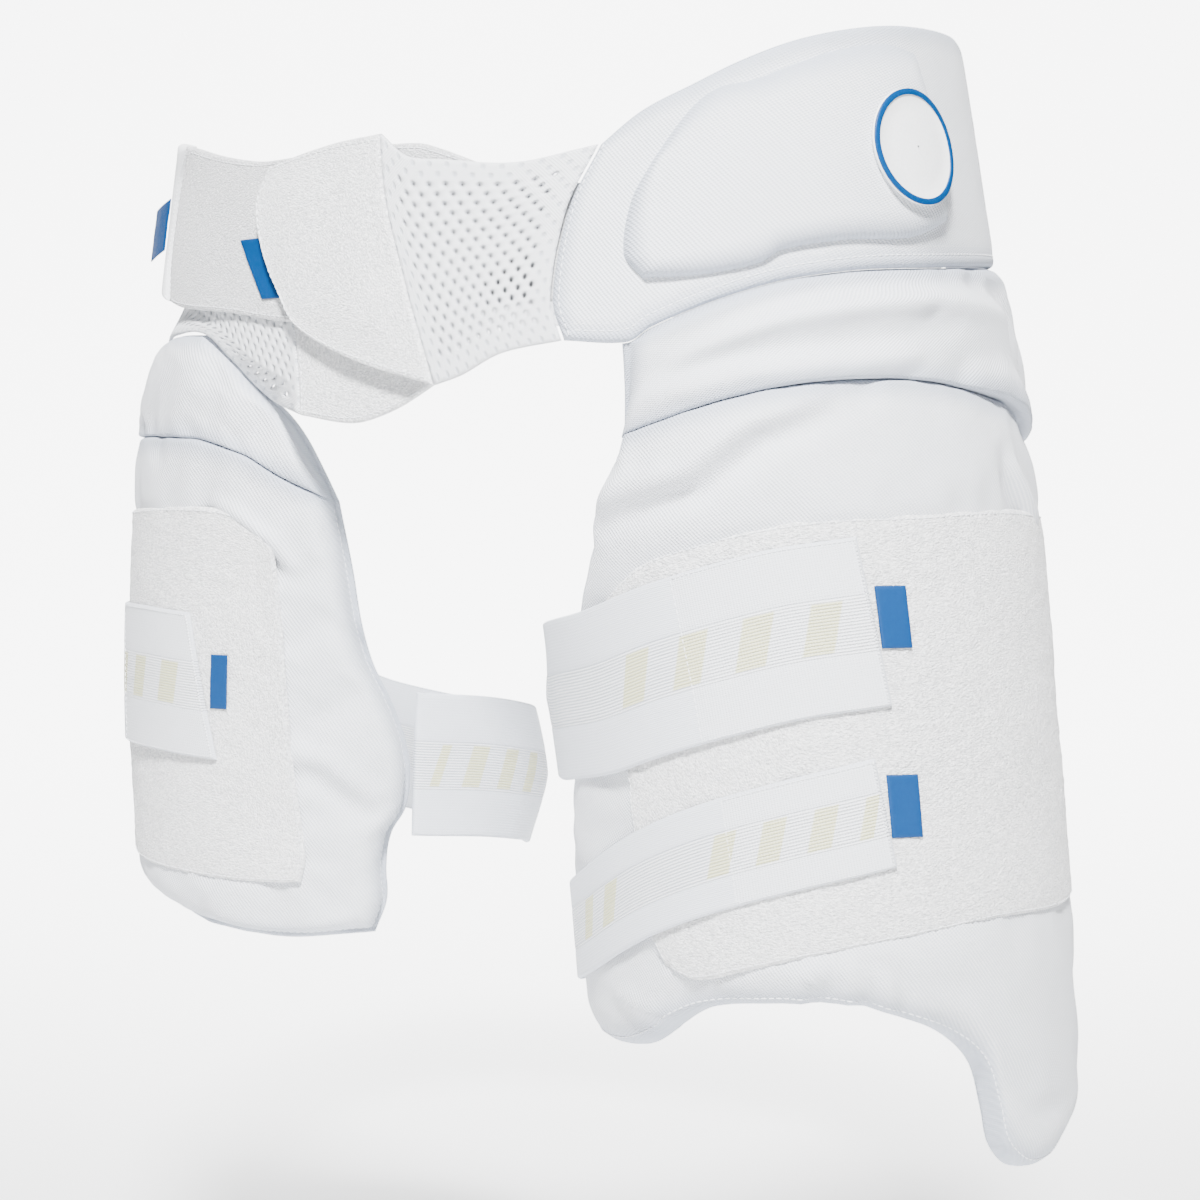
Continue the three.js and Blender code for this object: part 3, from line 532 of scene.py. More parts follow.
# Finishes
class Graph:
    # Short ways to place and join nodes
    def __init__(self, tree):
        self.tree = tree

    def node(self, kind, **values):
        made = self.tree.nodes.new(kind)
        for name, value in values.items():
            setattr(made, name, value)
        return made

    def feed(self, value, socket):
        if isinstance(value, bpy.types.NodeSocket):
            self.tree.links.new(value, socket)
        else:
            socket.default_value = value

    def math(self, operation, a, b=0.0):
        made = self.node("ShaderNodeMath", operation=operation)
        self.feed(a, made.inputs[0])
        self.feed(b, made.inputs[1])
        return made.outputs[0]

    def plus(self, a, b):
        return self.math("ADD", a, b)

    def minus(self, a, b):
        return self.math("SUBTRACT", a, b)

    def times(self, a, b):
        return self.math("MULTIPLY", a, b)

    def wave(self, value, pitch, kind="SINE"):
        return self.math(kind, self.times(value, 2 * math.pi / pitch))

    def noise(self, vector, scale, detail=2.0, rough=0.5):
        made = self.node("ShaderNodeTexNoise")
        for value, name in ((vector, "Vector"), (scale, "Scale"), (detail, "Detail"), (rough, "Roughness")):
            self.feed(value, made.inputs[name])
        return made.outputs["Fac"]

    def cells(self, vector, scale):
        made = self.node("ShaderNodeTexVoronoi")
        self.feed(vector, made.inputs["Vector"])
        self.feed(scale, made.inputs["Scale"])
        return made.outputs["Distance"]

    def range(self, value, low, high, start=0.0, end=1.0):
        made = self.node("ShaderNodeMapRange", interpolation_type="SMOOTHSTEP")
        for k, part in enumerate((value, low, high, start, end)):
            self.feed(part, made.inputs[k])
        return made.outputs[0]

    def blend(self, share, first, second):
        made = self.node("ShaderNodeMix", data_type="RGBA")
        self.feed(share, made.inputs[0])
        self.feed(first if isinstance(first, bpy.types.NodeSocket) else (*first, 1), made.inputs[6])
        self.feed(second if isinstance(second, bpy.types.NodeSocket) else (*second, 1), made.inputs[7])
        return made.outputs[2]

    def parts(self, vector):
        made = self.node("ShaderNodeSeparateXYZ")
        self.feed(vector, made.inputs[0])
        return made.outputs

    def bump(self, height, distance, strength):
        made = self.node("ShaderNodeBump")
        self.feed(height, made.inputs["Height"])
        made.inputs["Distance"].default_value = distance
        made.inputs["Strength"].default_value = strength
        return made.outputs["Normal"]

    def group(self, name, **values):
        made = self.node("ShaderNodeGroup")
        made.node_tree = groups[name]
        for key, value in values.items():
            self.feed(value, made.inputs[key])
        return made.outputs


groups = {}


def makeGroup(name, inputs, outputs, fill):
    tree = bpy.data.node_groups.new(name, "ShaderNodeTree")
    for kind, names in (("INPUT", inputs), ("OUTPUT", outputs)):
        for label, sort in names.items():
            tree.interface.new_socket(label, in_out=kind, socket_type="NodeSocket" + sort)
    start, end = tree.nodes.new("NodeGroupInput"), tree.nodes.new("NodeGroupOutput")
    graph = Graph(tree)
    for label, value in fill(graph, start.outputs).items():
        graph.feed(value, end.inputs[label])
    groups[name] = tree


def twillFill(g, given):
    # Slanted ribs crossed by finer ones, a little uneven
    x, y, _ = g.parts(given["Place"])
    turn = lambda a, b: g.plus(g.times(x, a), g.times(y, b))
    uneven = g.times(g.noise(given["Place"], 260.0), 2.2)
    phase = lambda run, share: g.math("DIVIDE", g.times(run, 2 * math.pi * share), given["Pitch"])
    wave = lambda run, share: g.math("SINE", g.plus(phase(run, share), uneven))
    ribs, cross = wave(turn(0.82, 0.57), 1.0), wave(turn(-0.5, 0.86), 1.35)
    height = g.plus(g.times(ribs, 0.5), g.times(cross, 0.28))
    return {"Height": height, "Shade": g.range(height, -0.8, 0.8)}


def fuzzFill(g, given):
    # Short raised loops: clumps and single loops, and painted glints: bright specks where loops would catch the
    # light
    place = given["Place"]
    clumps, loops = g.noise(place, 620.0, 4.0, 0.7), g.cells(place, 900.0)
    height = g.minus(g.times(clumps, 1.2), g.times(loops, 0.7))
    shine = g.times(g.range(g.noise(place, 760.0, 2.0), 0.57, 0.64), given["Sparkle"])
    return {"Height": height, "Shade": g.range(clumps, 0.35, 0.65), "Sparkle": shine}


def patchesAndEdgeShadeFill(g, given):
    # Wide soft patches of uneven tone, and a darker band at the very edge: painted shade on the turned edges
    rim = g.parts(given["Place"])[2]
    wide = g.range(g.noise(given["Place"], 14.0, 3.0), 0.35, 0.7)
    edge = g.range(rim, 0.0, 0.013, 1.0, 0.0)
    return {"Patches": wide, "Edge": g.times(edge, given["Edge Shade Amount"])}


makeGroup("twillWeave", {"Place": "Vector", "Pitch": "Float"}, {"Height": "Float", "Shade": "Float"}, twillFill)
makeGroup("raisedLoops", {"Place": "Vector", "Sparkle": "Float"},
          {"Height": "Float", "Shade": "Float", "Sparkle": "Float"}, fuzzFill)
makeGroup("patchesAndEdgeShade", {"Place": "Vector", "Edge Shade Amount": "Float"}, {"Patches": "Float", "Edge": "Float"},
          patchesAndEdgeShadeFill)


def newMaterial(name, roughness, sheen=0.0):
    material = bpy.data.materials.new(name)
    material.use_nodes = True
    graph = Graph(material.node_tree)
    shader = material.node_tree.nodes["Principled BSDF"]
    shader.inputs["Roughness"].default_value = roughness
    shader.inputs["Specular IOR Level"].default_value = 0.25
    if sheen:
        shader.inputs["Sheen Weight"].default_value = sheen
        shader.inputs["Sheen Roughness"].default_value = 0.45
    place = graph.node("ShaderNodeAttribute", attribute_name="cloth").outputs["Vector"]
    return material, graph, shader, place


def coverFabric(name, spec):
    material, g, shader, place = newMaterial(name, 0.8, 0.15)
    weave = g.group("twillWeave", Place=place, Pitch=spec["pitch"])
    patchesAndShade = g.group("patchesAndEdgeShade", **{"Place": place, "Edge Shade Amount": spec["edge"]})
    tone = g.blend(weave["Shade"], spec["valley"], spec["rib"])
    tone = g.blend(g.times(patchesAndShade["Patches"], 0.35), tone, spec["tint"])
    # Painted shade: the cover darkens towards its rims, as its turned edges would in shade
    tone = g.blend(patchesAndShade["Edge"], tone, spec["edgeShadeTone"])
    g.feed(tone, shader.inputs["Base Color"])
    g.feed(g.bump(weave["Height"], spec["depth"], 0.6), shader.inputs["Normal"])
    return material


def loopFabric(name, spec):
    material, g, shader, place = newMaterial(name, 0.95, 0.35)
    loops = g.group("raisedLoops", Place=place, Sparkle=spec["sparkle"])
    patchesAndShade = g.group("patchesAndEdgeShade", **{"Place": place, "Edge Shade Amount": 0.3})
    tone = g.blend(loops["Shade"], spec["deep"], spec["raised"])
    # Painted glints: sparkle specks blended to white in the base colour
    tone = g.blend(loops["Sparkle"], tone, (1.0, 1.0, 1.0))
    tone = g.blend(g.times(patchesAndShade["Patches"], 0.3), tone, spec["tint"])
    g.feed(tone, shader.inputs["Base Color"])
    g.feed(g.bump(loops["Height"], spec["depth"], 0.8), shader.inputs["Normal"])
    return material


def webbing(name, spec):
    # Three stripes: plain, ribbed along the strap, plain; slanted bars printed on the middle one
    material, g, shader, place = newMaterial(name, 0.72, 0.1)
    x, y, rim = g.parts(place)
    across = g.math("ABSOLUTE", y)
    middle = g.range(across, spec["stripe"] - 0.0006, spec["stripe"] + 0.0006, 1.0, 0.0)
    ends = g.range(x, spec["dense"] - 0.0005, spec["dense"] + 0.0005, 1.0, 0.0)
    rib = g.times(g.wave(y, 0.0013), g.plus(g.times(middle, 0.85), 0.15))
    plain = g.times(g.times(g.wave(y, 0.0009), g.wave(x, 0.0016)), 0.35)
    dense = g.times(g.wave(x, 0.0011), g.times(ends, 0.3))
    height = g.plus(g.plus(rib, plain), dense)
    seam = g.math("ABSOLUTE", g.minus(across, spec["stripe"]))
    line = g.range(seam, 0.0, 0.0007, 1.0, 0.0)
    ribbed = g.blend(g.range(height, -0.7, 0.5), spec["valley"], spec["rib"])
    woven = g.blend(g.range(height, -0.5, 0.5), spec["plainLow"], spec["plain"])
    tone = g.blend(middle, woven, ribbed)
    tone = g.blend(g.times(line, 0.7), tone, spec["valley"])
    tone = g.blend(g.times(ends, 0.35), tone, spec["rib"])
    slant = g.plus(x, g.times(y, 0.35))
    part = g.math("FRACT", g.math("DIVIDE", g.plus(slant, 1.0), spec["barPitch"]))
    bars = g.times(g.range(part, 0.46, 0.5, 1.0, 0.0), g.range(part, 0.0, 0.04))
    bars = g.times(bars, g.range(across, spec["barReach"] - 0.0005, spec["barReach"], 1.0, 0.0))
    spans = 0.0
    for start, end in spec["printed"]:
        begun, over = g.range(slant, start, start + 0.0003), g.range(slant, end, end + 0.0003, 1.0, 0.0)
        spans = g.math("MAXIMUM", spans, g.times(begun, over))
    worn = g.range(g.plus(height, g.noise(place, 700.0)), -0.9, 0.6, 0.45, 0.95)
    bars = g.times(g.times(bars, spans), worn)
    # Darker towards the very rim: partly the grey outline of the strap's edge, partly painted shade along its
    # edges
    tone = g.blend(g.range(rim, 0.0004, 0.0016, 0.6, 0.0), tone, spec["valley"])
    g.feed(g.blend(bars, tone, spec["print"]), shader.inputs["Base Color"])
    g.feed(g.bump(height, spec["depth"], 0.7), shader.inputs["Normal"])
    return material


def netFabric(name, spec):
    material, g, shader, place = newMaterial(name, 0.85, 0.15)
    x, y, _ = g.parts(place)
    # Dimples in the same staggered rows as the holes; their darker colour is painted shade, like holes seen
    # into
    columns = g.wave(g.plus(x, spec["column"] / 2), spec["column"], "COSINE")
    lattice = g.times(columns, g.wave(g.plus(y, -spec["row"] / 2), 2 * spec["row"], "COSINE"))
    dimple = g.range(lattice, 0.3, 0.95)
    knit = g.times(g.wave(x, 0.0011, "COSINE"), g.wave(y, 0.0014, "COSINE"))
    height = g.minus(g.times(knit, 0.25), dimple)
    tone = g.blend(g.range(knit, -0.6, 0.8), spec["between"], spec["rib"])
    g.feed(g.blend(dimple, tone, spec["valley"]), shader.inputs["Base Color"])
    g.feed(g.bump(height, spec["depth"], 0.8), shader.inputs["Normal"])
    return material


def plainTape(name, spec):
    material, g, shader, place = newMaterial(name, spec["roughness"], spec.get("sheen", 0.0))
    x, y, _ = g.parts(place)
    height = g.times(g.wave(x, spec["pitch"]), g.wave(y, spec["pitch"] * 0.8))
    uneven = g.noise(place, 500.0, 3.0)
    tone = g.blend(g.range(g.plus(height, uneven), -0.4, 1.4), spec["valley"], spec["rib"])
    g.feed(tone, shader.inputs["Base Color"])
    g.feed(g.bump(height, spec["depth"], 0.5), shader.inputs["Normal"])
    return material


def rubber(name, spec):
    material, g, shader, place = newMaterial(name, spec["roughness"])
    speck = g.noise(place, 900.0, 3.0)
    g.feed(g.blend(g.range(speck, 0.3, 0.7), spec["low"], spec["high"]), shader.inputs["Base Color"])
    g.feed(g.bump(speck, 0.00008, 0.5), shader.inputs["Normal"])
    return material


white = (0.87, 0.88, 0.90)
netPitch = (6.6, 4.3)  # millimetres between the holes of a row, and between rows
webbingTones = {"depth": 0.0003, "rib": (0.88, 0.89, 0.91), "valley": (0.58, 0.61, 0.67),
                "plain": (0.78, 0.81, 0.86), "plainLow": (0.66, 0.69, 0.75), "print": (0.68, 0.67, 0.40)}
finishes = {
    # The cover's edge amount and edge shade tone paint shade onto its turned edges
    "cover": coverFabric("coverFabric", {"pitch": 0.0013, "depth": 0.00045, "edge": 0.8, "rib": white,
                                         "valley": (0.62, 0.65, 0.71), "tint": (0.78, 0.80, 0.85),
                                         "edgeShadeTone": (0.40, 0.44, 0.52)}),
    "loop": loopFabric("loopFabric", {"depth": 0.0012, "sparkle": 1.3, "raised": (0.94, 0.94, 0.945),
                                      "deep": (0.62, 0.625, 0.64), "tint": (0.92, 0.92, 0.925)}),
    "flap": loopFabric("flapLoopFabric", {"depth": 0.0010, "sparkle": 1.1, "raised": (0.88, 0.885, 0.895),
                                          "deep": (0.58, 0.585, 0.60), "tint": (0.85, 0.855, 0.865)}),
    # A darker copy of the loop fabric for the inner belt: painted shade, as the belt turns away from the light
    "belt": loopFabric("beltLoopFabricPaintedShade", {"depth": 0.0010, "sparkle": 0.8, "raised": (0.72, 0.725, 0.74),
                                          "deep": (0.50, 0.505, 0.52), "tint": (0.68, 0.685, 0.70)}),
    "mesh": netFabric("meshFabric", {"column": netPitch[0] / 1000, "row": netPitch[1] / 1000,
                                     "depth": 0.0006, "rib": white,
                                     "between": (0.70, 0.72, 0.75), "valley": (0.60, 0.625, 0.67)}),
    "wide": webbing("wideWebbing", {"stripe": 0.012, "dense": 0.074, "barPitch": 0.026, "barReach": 0.0105,
                                    "printed": [(0.003, 0.104), (0.468, 0.566)], **webbingTones}),
    "narrow": webbing("narrowWebbing", {"stripe": 0.0095, "dense": 0.062, "barPitch": 0.02, "barReach": 0.0085,
                                        "printed": [(0.004, 0.07), (0.115, 0.16)], **webbingTones}),
    "tape": plainTape("bindingTape", {"roughness": 0.8, "sheen": 0.1, "pitch": 0.001, "depth": 0.0001,
                                      "rib": (0.88, 0.89, 0.90), "valley": (0.80, 0.81, 0.84)}),
    "label": plainTape("labelSatin", {"roughness": 0.5, "pitch": 0.0006, "depth": 0.00005,
                                      "rib": (0.0, 0.045, 0.165), "valley": (0.0, 0.033, 0.13)}),
    "thread": plainTape("sewingThread", {"roughness": 0.6, "pitch": 0.0005, "depth": 0.00004,
                                         "rib": (0.88, 0.89, 0.91), "valley": (0.78, 0.80, 0.84)}),
    "disc": rubber("badgeRubber", {"roughness": 0.42, "low": (0.84, 0.85, 0.86), "high": (0.90, 0.91, 0.92)}),
    "ring": rubber("ringRubber", {"roughness": 0.4, "low": (0.0, 0.035, 0.135), "high": (0.0, 0.047, 0.17)}),
}
print("finishes made:", len(finishes))

# Hip pad: flange, moulded cushion and round badge
lifts = {"hip": 6.2, "cushion": 10.35, "badge": 18.4, "skin": 1.0, "panel": 17.35, "strap": 19.9}

hipFlange = {
    "left": [[34, 0.36], [29, 0.08], [27, -0.3], [29, -0.48]],
    "top": [[34, 0.36], [40, 0.5], [47, 0.61], [54, 0.72], [62, 0.82], [72, 0.9], [82, 0.95], [96, 0.99],
            [114, 0.98]],
    "right": [[114, 0.98], [121, 0.6], [124, 0.2], [124, -0.04]],
    "bottom": [[29, -0.48], [38, -0.49], [41, -0.43], [48, -0.33], [55, -0.25], [60, -0.21], [68, -0.17],
               [79, -0.14], [101, -0.08], [124, -0.04]],
    "thickness": 4.3, "rim": (6, 0.45, 0), "spacing": 2.2,
}
hipCushion = {
    "left": [[41, 0.28], [38, 0.11], [37, -0.12], [39.5, -0.22]],
    "top": [[41, 0.28], [46, 0.49], [50, 0.59], [55, 0.63], [60, 0.7], [67, 0.78], [75, 0.83], [80, 0.82]],
    "right": [[80, 0.82], [82, 0.56], [83, 0.26], [82, 0.06]],
    "bottom": [[39.5, -0.22], [47, -0.21], [54, -0.16], [57, -0.1], [65, -0.05], [75, -0.02], [82, 0.06]],
    "thickness": 7.3, "rim": (11, 0.06, 0), "spacing": 1.8,
}


edgeNames = ("top", "bottom", "left", "right")
# Rims as radius, share of the thickness at the edge and width of the flange
panelRim, strapRim, labelRim, webRim = (1.8, 0.35, 0), (1.0, 0.5, 0), (0.6, 0.5, 0), (1.2, 0.5, 0)
butt = 0.35  # clearance where one piece ends on the edge of the next
swellCap = {"lead": 4.5, "rear": 4.0}


def outline(spec):
    return {side: spec[side] for side in edgeNames}


def allRims(rim):
    return {side: rim for side in edgeNames}


def buildPadded(cloth, name, spacing, node):
    piece = cloth.build(name, spacing, finishes["cover"], node, "cover_fabric")


flangeSeams = (5.5, 9.0)  # two rows of stitching, from the lower edge


def flangeRelief(spot):
    low = (1 - spot["v"]) * flangeCloth.down
    seams = sum(-0.55 * np.exp(-(((low - at) / 0.8) ** 2)) for at in flangeSeams)
    return seams + 0.6 * rumple(spot["s"], spot["t"], 38, 1) + 0.2 * rumple(spot["s"], spot["t"], 13, 2)


def cushionRelief(spot):
    dome = -0.8 * ramp(spot["rim"], 34, 6)
    return dome + 0.35 * rumple(spot["s"], spot["t"], 30, 3)


flangeCloth = Cloth(Patch(body, **outline(hipFlange)), lifts["hip"], hipFlange["thickness"],
                    allRims(hipFlange["rim"]), flangeRelief)
buildPadded(flangeCloth, "hipFlange", hipFlange["spacing"], "hip_flange")
cushionCloth = Cloth(Patch(body, **outline(hipCushion)), lifts["cushion"], hipCushion["thickness"],
                     allRims(hipCushion["rim"]), cushionRelief)
buildPadded(cushionCloth, "hipCushion", hipCushion["spacing"], "hip_cushion")

badge = {"angle": 75, "height": 37, "radius": 25.5, "thickness": 1.7, "ring": (0.89, 0.995), "sides": 96}


def discPiece(name, rings, material, node=None):
    # Rings are (share of the radius, millimetres above the foot), from the middle of one face round
    turn = np.arange(badge["sides"]) * 2 * np.pi / badge["sides"]
    reach = body.radius(badge["angle"], badge["height"]) + lifts["badge"]
    points = []
    for share, rise in rings:
        side, up = badge["radius"] * share * np.sin(turn), badge["radius"] * share * np.cos(turn)
        angle = badge["angle"] + np.degrees(side / reach)
        points.append(body.at(angle, badge["height"] + up, lifts["badge"] + rise))
    points = np.concatenate(points)
    grid = np.arange(len(points)).reshape(len(rings), -1)
    after = np.roll(grid, -1, axis=1)
    faces = np.stack([grid[:-1], after[:-1], after[1:], grid[1:]], -1).reshape(-1, 4)
    if rings[0] == rings[-1]:
        return makePiece(name, points, faces, points, material, node)
    centres = np.stack([points[grid[k]].mean(0) for k in (0, -1)])
    count = len(points)
    caps = [np.stack([np.full(badge["sides"], count), after[0], grid[0], grid[0]], -1),
            np.stack([np.full(badge["sides"], count + 1), grid[-1], after[-1], after[-1]], -1)]
    points = np.concatenate([points, centres])
    faces = np.concatenate([faces, *caps])
    return makePiece(name, points, faces, points, material, node)


high = badge["thickness"]
discPiece("badgeDisc", [(0.02, 0), (0.5, 0), (1, 0), (1.0, high * 0.7), (0.985, high), (0.9, high),
                        (0.88, high - 0.35), (0.6, high - 0.3), (0.3, high - 0.25), (0.02, high - 0.25)],
          finishes["disc"], "hip_badge")
inner, outerShare = badge["ring"]
discPiece("badgeRing", [(inner, high - 0.5), (inner, high + 0.25), (inner + 0.015, high + 0.42),
                        (outerShare - 0.015, high + 0.42), (outerShare, high + 0.25), (outerShare, high - 0.5),
                        (inner, high - 0.5)], finishes["ring"])
print("hip pad made")

# Lead leg: yoke, thigh pad, loop panel
leadSeam = [[-7, -0.228], [6, -0.205], [18, -0.185], [31, -0.17], [45, -0.1625], [62, -0.1625], [80, -0.1725],
            [94, -0.1825], [111, -0.21], [125, -0.23]]
leadPad = {
    "left": [[-19, -0.3125], [-26, -0.3675], [-32, -0.4125], [-41, -0.515], [-55, -0.61], [-68, -0.7],
             [-74, -0.8], [-72, -0.86]],
    "right": [[126, -0.5], [127, -0.8], [125, -0.95]],
    "bottom": [[-72, -0.86], [-60, -0.895], [-45, -0.9], [-28, -0.885], [-7, -0.8325], [9, -0.82],
               [29, -0.8175], [41, -0.8325], [53, -0.855], [62, -0.89], [66, -0.94], [69, -0.985],
               [78, -1.015], [95, -1.015], [112, -0.99], [125, -0.95]],
    "thickness": 16, "edge": (15, 0.22, 3.6), "arch": (17, 0.3, 0), "seam": (3, 0.9, 0), "spacing": 2.3,
}
leadPanel = {
    "left": [[-16, -0.3975], [-17.5, -0.5], [-18.5, -0.65], [-17.5, -0.74], [-13, -0.785]],
    "top": [[-16, -0.3975], [-4, -0.355], [9, -0.3325], [21, -0.3175], [35, -0.3075], [50, -0.305],
            [78, -0.3], [100, -0.305], [121, -0.31]],
    "right": [[121, -0.31], [122, -0.5], [122, -0.735]],
    "bottom": [[-13, -0.785], [-5, -0.795], [7, -0.78], [19, -0.765], [40, -0.745], [64, -0.7325],
               [92, -0.7375], [122, -0.735]],
    "thickness": 2.0, "spacing": 1.6,
}
yoke = {"start": 0.085, "topFill": 0.36, "seamFill": 1, "overhang": 0.35, "edge": (12, 0.3, 3.0),
        "seam": (3, 0.9, 0), "top": (7, 0.3, 0), "spacing": 2.3}

hipFoot, leadSeamCurve = along(body, hipFlange["bottom"]), along(lead, leadSeam)


def leadYokeAt(u, v, lift):
    highAngle, highZ = hipFoot(lerp(yoke["start"], 1, u))
    lowAngle, lowZ = leadSeamCurve(u)
    start = body.at(highAngle, highZ - butt, lifts["hip"] + lift)
    end = lead.at(lowAngle, lowZ, lift + lifts["skin"])
    return lerp(start, end, np.asarray(v)[..., None])


def yokeThickness(u, v):
    return leadPad["thickness"] * lerp(yoke["topFill"], yoke["seamFill"], np.sqrt(v))


def overhang(outward, v):
    return leadPad["thickness"] * yoke["overhang"] * ramp(outward, 0.55, 0.85) * v


def lengthOf(form, rows):
    t = np.linspace(0, 1, 31)
    return np.linalg.norm(np.diff(form.at(*along(form, rows)(t), 0), axis=0), axis=1).sum()


def puckers(gap, run, pitch, depth, reach, seed):
    # Small gathers that run off a seam
    return depth * np.exp(-np.clip(gap, 0, None) / reach) * rumple(run, gap * 0.15, pitch, seed)


def sumFolds(x, y, folds):
    return 2.0 * sum(fold(x, y, *one) for one in folds)


yokeFolds = [
    ([[18, 26], [60, 20], [120, 17], [190, 22]], 7, 3.2, 0.8),
    ([[5, 40], [40, 48], [90, 52], [140, 44]], 9, 2.0, 0.9),
    ([[210, 30], [250, 42], [280, 60]], 9, 2.5, 0.6),
    ([[120, 60], [170, 52], [225, 58]], 8, 1.6, 0.6),
]


def leadYokeRelief(spot):
    s, t = spot["s"], spot["t"]
    low = (1 - spot["v"]) * yokeCloth.down
    return (sumFolds(s, t, yokeFolds) + 1.1 * rumple(s, t, 42, 11) + 0.35 * rumple(s, t, 15, 12)
            + puckers(low, s, 9, 0.7, 6, 13) + puckers(t, s, 11, 0.5, 6, 14))


yokeCloth = Cloth(Free(leadYokeAt), 0, lambda u, v: yokeThickness(u, v) + overhang(u, v),
                  {"left": yoke["edge"], "right": yoke["edge"], "top": yoke["top"], "bottom": yoke["seam"]},
                  leadYokeRelief, across=lengthOf(lead, leadSeam))
settle(yokeCloth, swellCap["lead"], nothing)
buildPadded(yokeCloth, "leadYoke", yoke["spacing"], "lead_yoke")

leadFolds = [
    ([[-30, -120], [16, -104], [40, -84], [72, -70]], 6, 2.6, 0.9),
    ([[-14, -84], [-18, -108], [-32, -136]], 5, 2.2, 0.8),
    ([[-4, -84], [-8, -104], [-22, -128]], 4, 1.6, 0.8),
    ([[158, -98], [170, -112], [186, -130]], 6, 2.4, 0.8),
    ([[30, -334], [36, -316], [44, -306]], 4, 1.6, 0.8),
    ([[52, -334], [55, -318], [56, -304]], 4, 1.8, 0.8),
    ([[70, -334], [68, -318], [64, -308]], 4, 1.6, 0.8),
    ([[-60, -330], [-30, -338], [0, -326]], 5, 1.4, 0.6),
]


def leadPadRelief(spot):
    x, z = np.radians(spot["angle"]) * lead.halfDepth, spot["z"]
    return (sumFolds(x, z, leadFolds) + 0.9 * rumple(x, z, 46, 21) + 0.3 * rumple(x, z, 16, 22)
            + puckers(spot["t"], spot["s"], 9, 0.8, 6, 23)
            + puckers(spot["rim"], spot["s"] + spot["t"], 8, 0.5, 7, 24))


def underPanel(form, spec):
    # The cover is held where its loop panel is sewn on
    patch = Patch(form, **outline(spec))
    return lambda u, v, angle, z: inside(patch, angle, z)


def padPatch(form, seam, spec):
    # The pad starts just under the seam that the yoke ends on
    top = moved(seam, 0, -0.1 / form.length)
    return Patch(form, top, spec["bottom"], [top[0], *spec["left"]], [top[-1], *spec["right"]])


padCloth = Cloth(
    padPatch(lead, leadSeam, leadPad), lifts["skin"], leadPad["thickness"],
    {"left": leadPad["edge"], "right": leadPad["edge"], "bottom": leadPad["arch"], "top": leadPad["seam"]},
    leadPadRelief, across=lengthOf(lead, leadSeam))
settle(padCloth, swellCap["lead"], underPanel(lead, leadPanel))
buildPadded(padCloth, "leadThighPad", leadPad["spacing"], "lead_thigh_pad")


def panelRelief(seed):
    def relief(spot):
        x, z = spot["s"], spot["t"]
        edge = -0.9 * np.exp(-spot["rim"] / 1.6)
        return (0.55 * rumple(x, z, 30, seed) + 0.3 * rumple(x, z, 4, seed + 1)
                + 0.24 * rumple(x, z, 2.2, seed + 2) + edge + puckers(spot["rim"], x + z, 8, 0.4, 5, seed + 3))
    return relief


def loopPanel(name, form, spec, seed, node):
    cloth = Cloth(Patch(form, **outline(spec)), lifts["panel"], spec["thickness"], allRims(panelRim),
                  panelRelief(seed))
    piece = cloth.build(name, spec["spacing"], finishes["loop"], node, "loop_fabric")
    declareSheet(cloth.place, lifts["panel"])
    return cloth


leadPanelCloth = loopPanel("leadLoopPanel", lead, leadPanel, 31, "lead_loop_panel")
print("lead pad made")

# Rear leg: yoke, thigh pad, loop panel
rearSeam = [[-88, -0.222], [-65, -0.215], [-45, -0.215], [-20, -0.2175], [-7, -0.2225], [4, -0.24],
            [14, -0.2675], [26, -0.295]]
rearYoke = {
    "top": [[-85, -0.13], [-62, -0.108], [-43, -0.0975], [-31, -0.0925], [-14, -0.095]],
    "right": [[-14, -0.095], [-4, -0.1275], [3, -0.1575], [11, -0.19], [16, -0.2175], [22, -0.2625],
              [26, -0.295]],
    "left": [[-85, -0.13], [-88, -0.18], [-88, -0.222]], "bottom": rearSeam,
}
rearPad = {
    "left": [[-88, -0.4], [-84, -0.6], [-76, -0.76]],
    "right": [[31, -0.375], [34.5, -0.44], [38.2, -0.4875], [43, -0.5275], [47.7, -0.575], [49.7, -0.62],
              [48.6, -0.665], [44.6, -0.695], [43.2, -0.735], [43.5, -0.775], [40, -0.815]],
    "bottom": [[-76, -0.76], [-50, -0.785], [-25, -0.8], [-10, -0.812], [4, -0.8175], [20, -0.82],
               [40, -0.815]],
    "edge": (15, 0.22, 3.4), "seam": (3, 0.9, 0), "spacing": 2.3,
}
rearPanel = {
    "left": [[-70, -0.31], [-71, -0.5], [-66, -0.735]],
    "top": [[-70, -0.31], [-42, -0.305], [-12, -0.3], [1.5, -0.305], [8.5, -0.3225], [13.3, -0.35]],
    "right": [[13.3, -0.35], [15.3, -0.41], [16.8, -0.46], [19.8, -0.6], [22.6, -0.715], [21.6, -0.747]],
    "bottom": [[-66, -0.735], [-35, -0.742], [6, -0.748], [21.6, -0.747]],
    "thickness": 2.0, "spacing": 1.6,
}
rearFolds = [
    ([[-8, -116], [11, -127], [24, -137], [36, -152]], 4.5, 2.4, 0.9),
    ([[60, -170], [72, -184], [84, -206]], 5, 1.8, 0.7),
    ([[30, -236], [50, -240], [76, -262]], 6, 1.6, 0.7),
    ([[-10, -318], [30, -326], [64, -318]], 5, 1.8, 0.7),
    ([[0, -330], [30, -336], [60, -330]], 4, 1.4, 0.7),
]


def rearYokeRelief(spot):
    s, t = spot["s"], spot["t"]
    low = (1 - spot["v"]) * rearYokeCloth.down
    return (0.8 * rumple(s, t, 36, 41) + 0.3 * rumple(s, t, 13, 42) + puckers(low, s, 9, 0.7, 6, 43)
            + puckers(t, s, 10, 0.6, 7, 44))


def rearPadRelief(spot):
    x, z = np.radians(spot["angle"]) * rear.halfDepth, spot["z"]
    return (sumFolds(x, z, rearFolds) + 0.9 * rumple(x, z, 40, 51) + 0.3 * rumple(x, z, 15, 52)
            + puckers(spot["t"], spot["s"], 9, 0.8, 6, 53)
            + puckers(spot["rim"], spot["s"] + spot["t"], 8, 0.5, 7, 54))


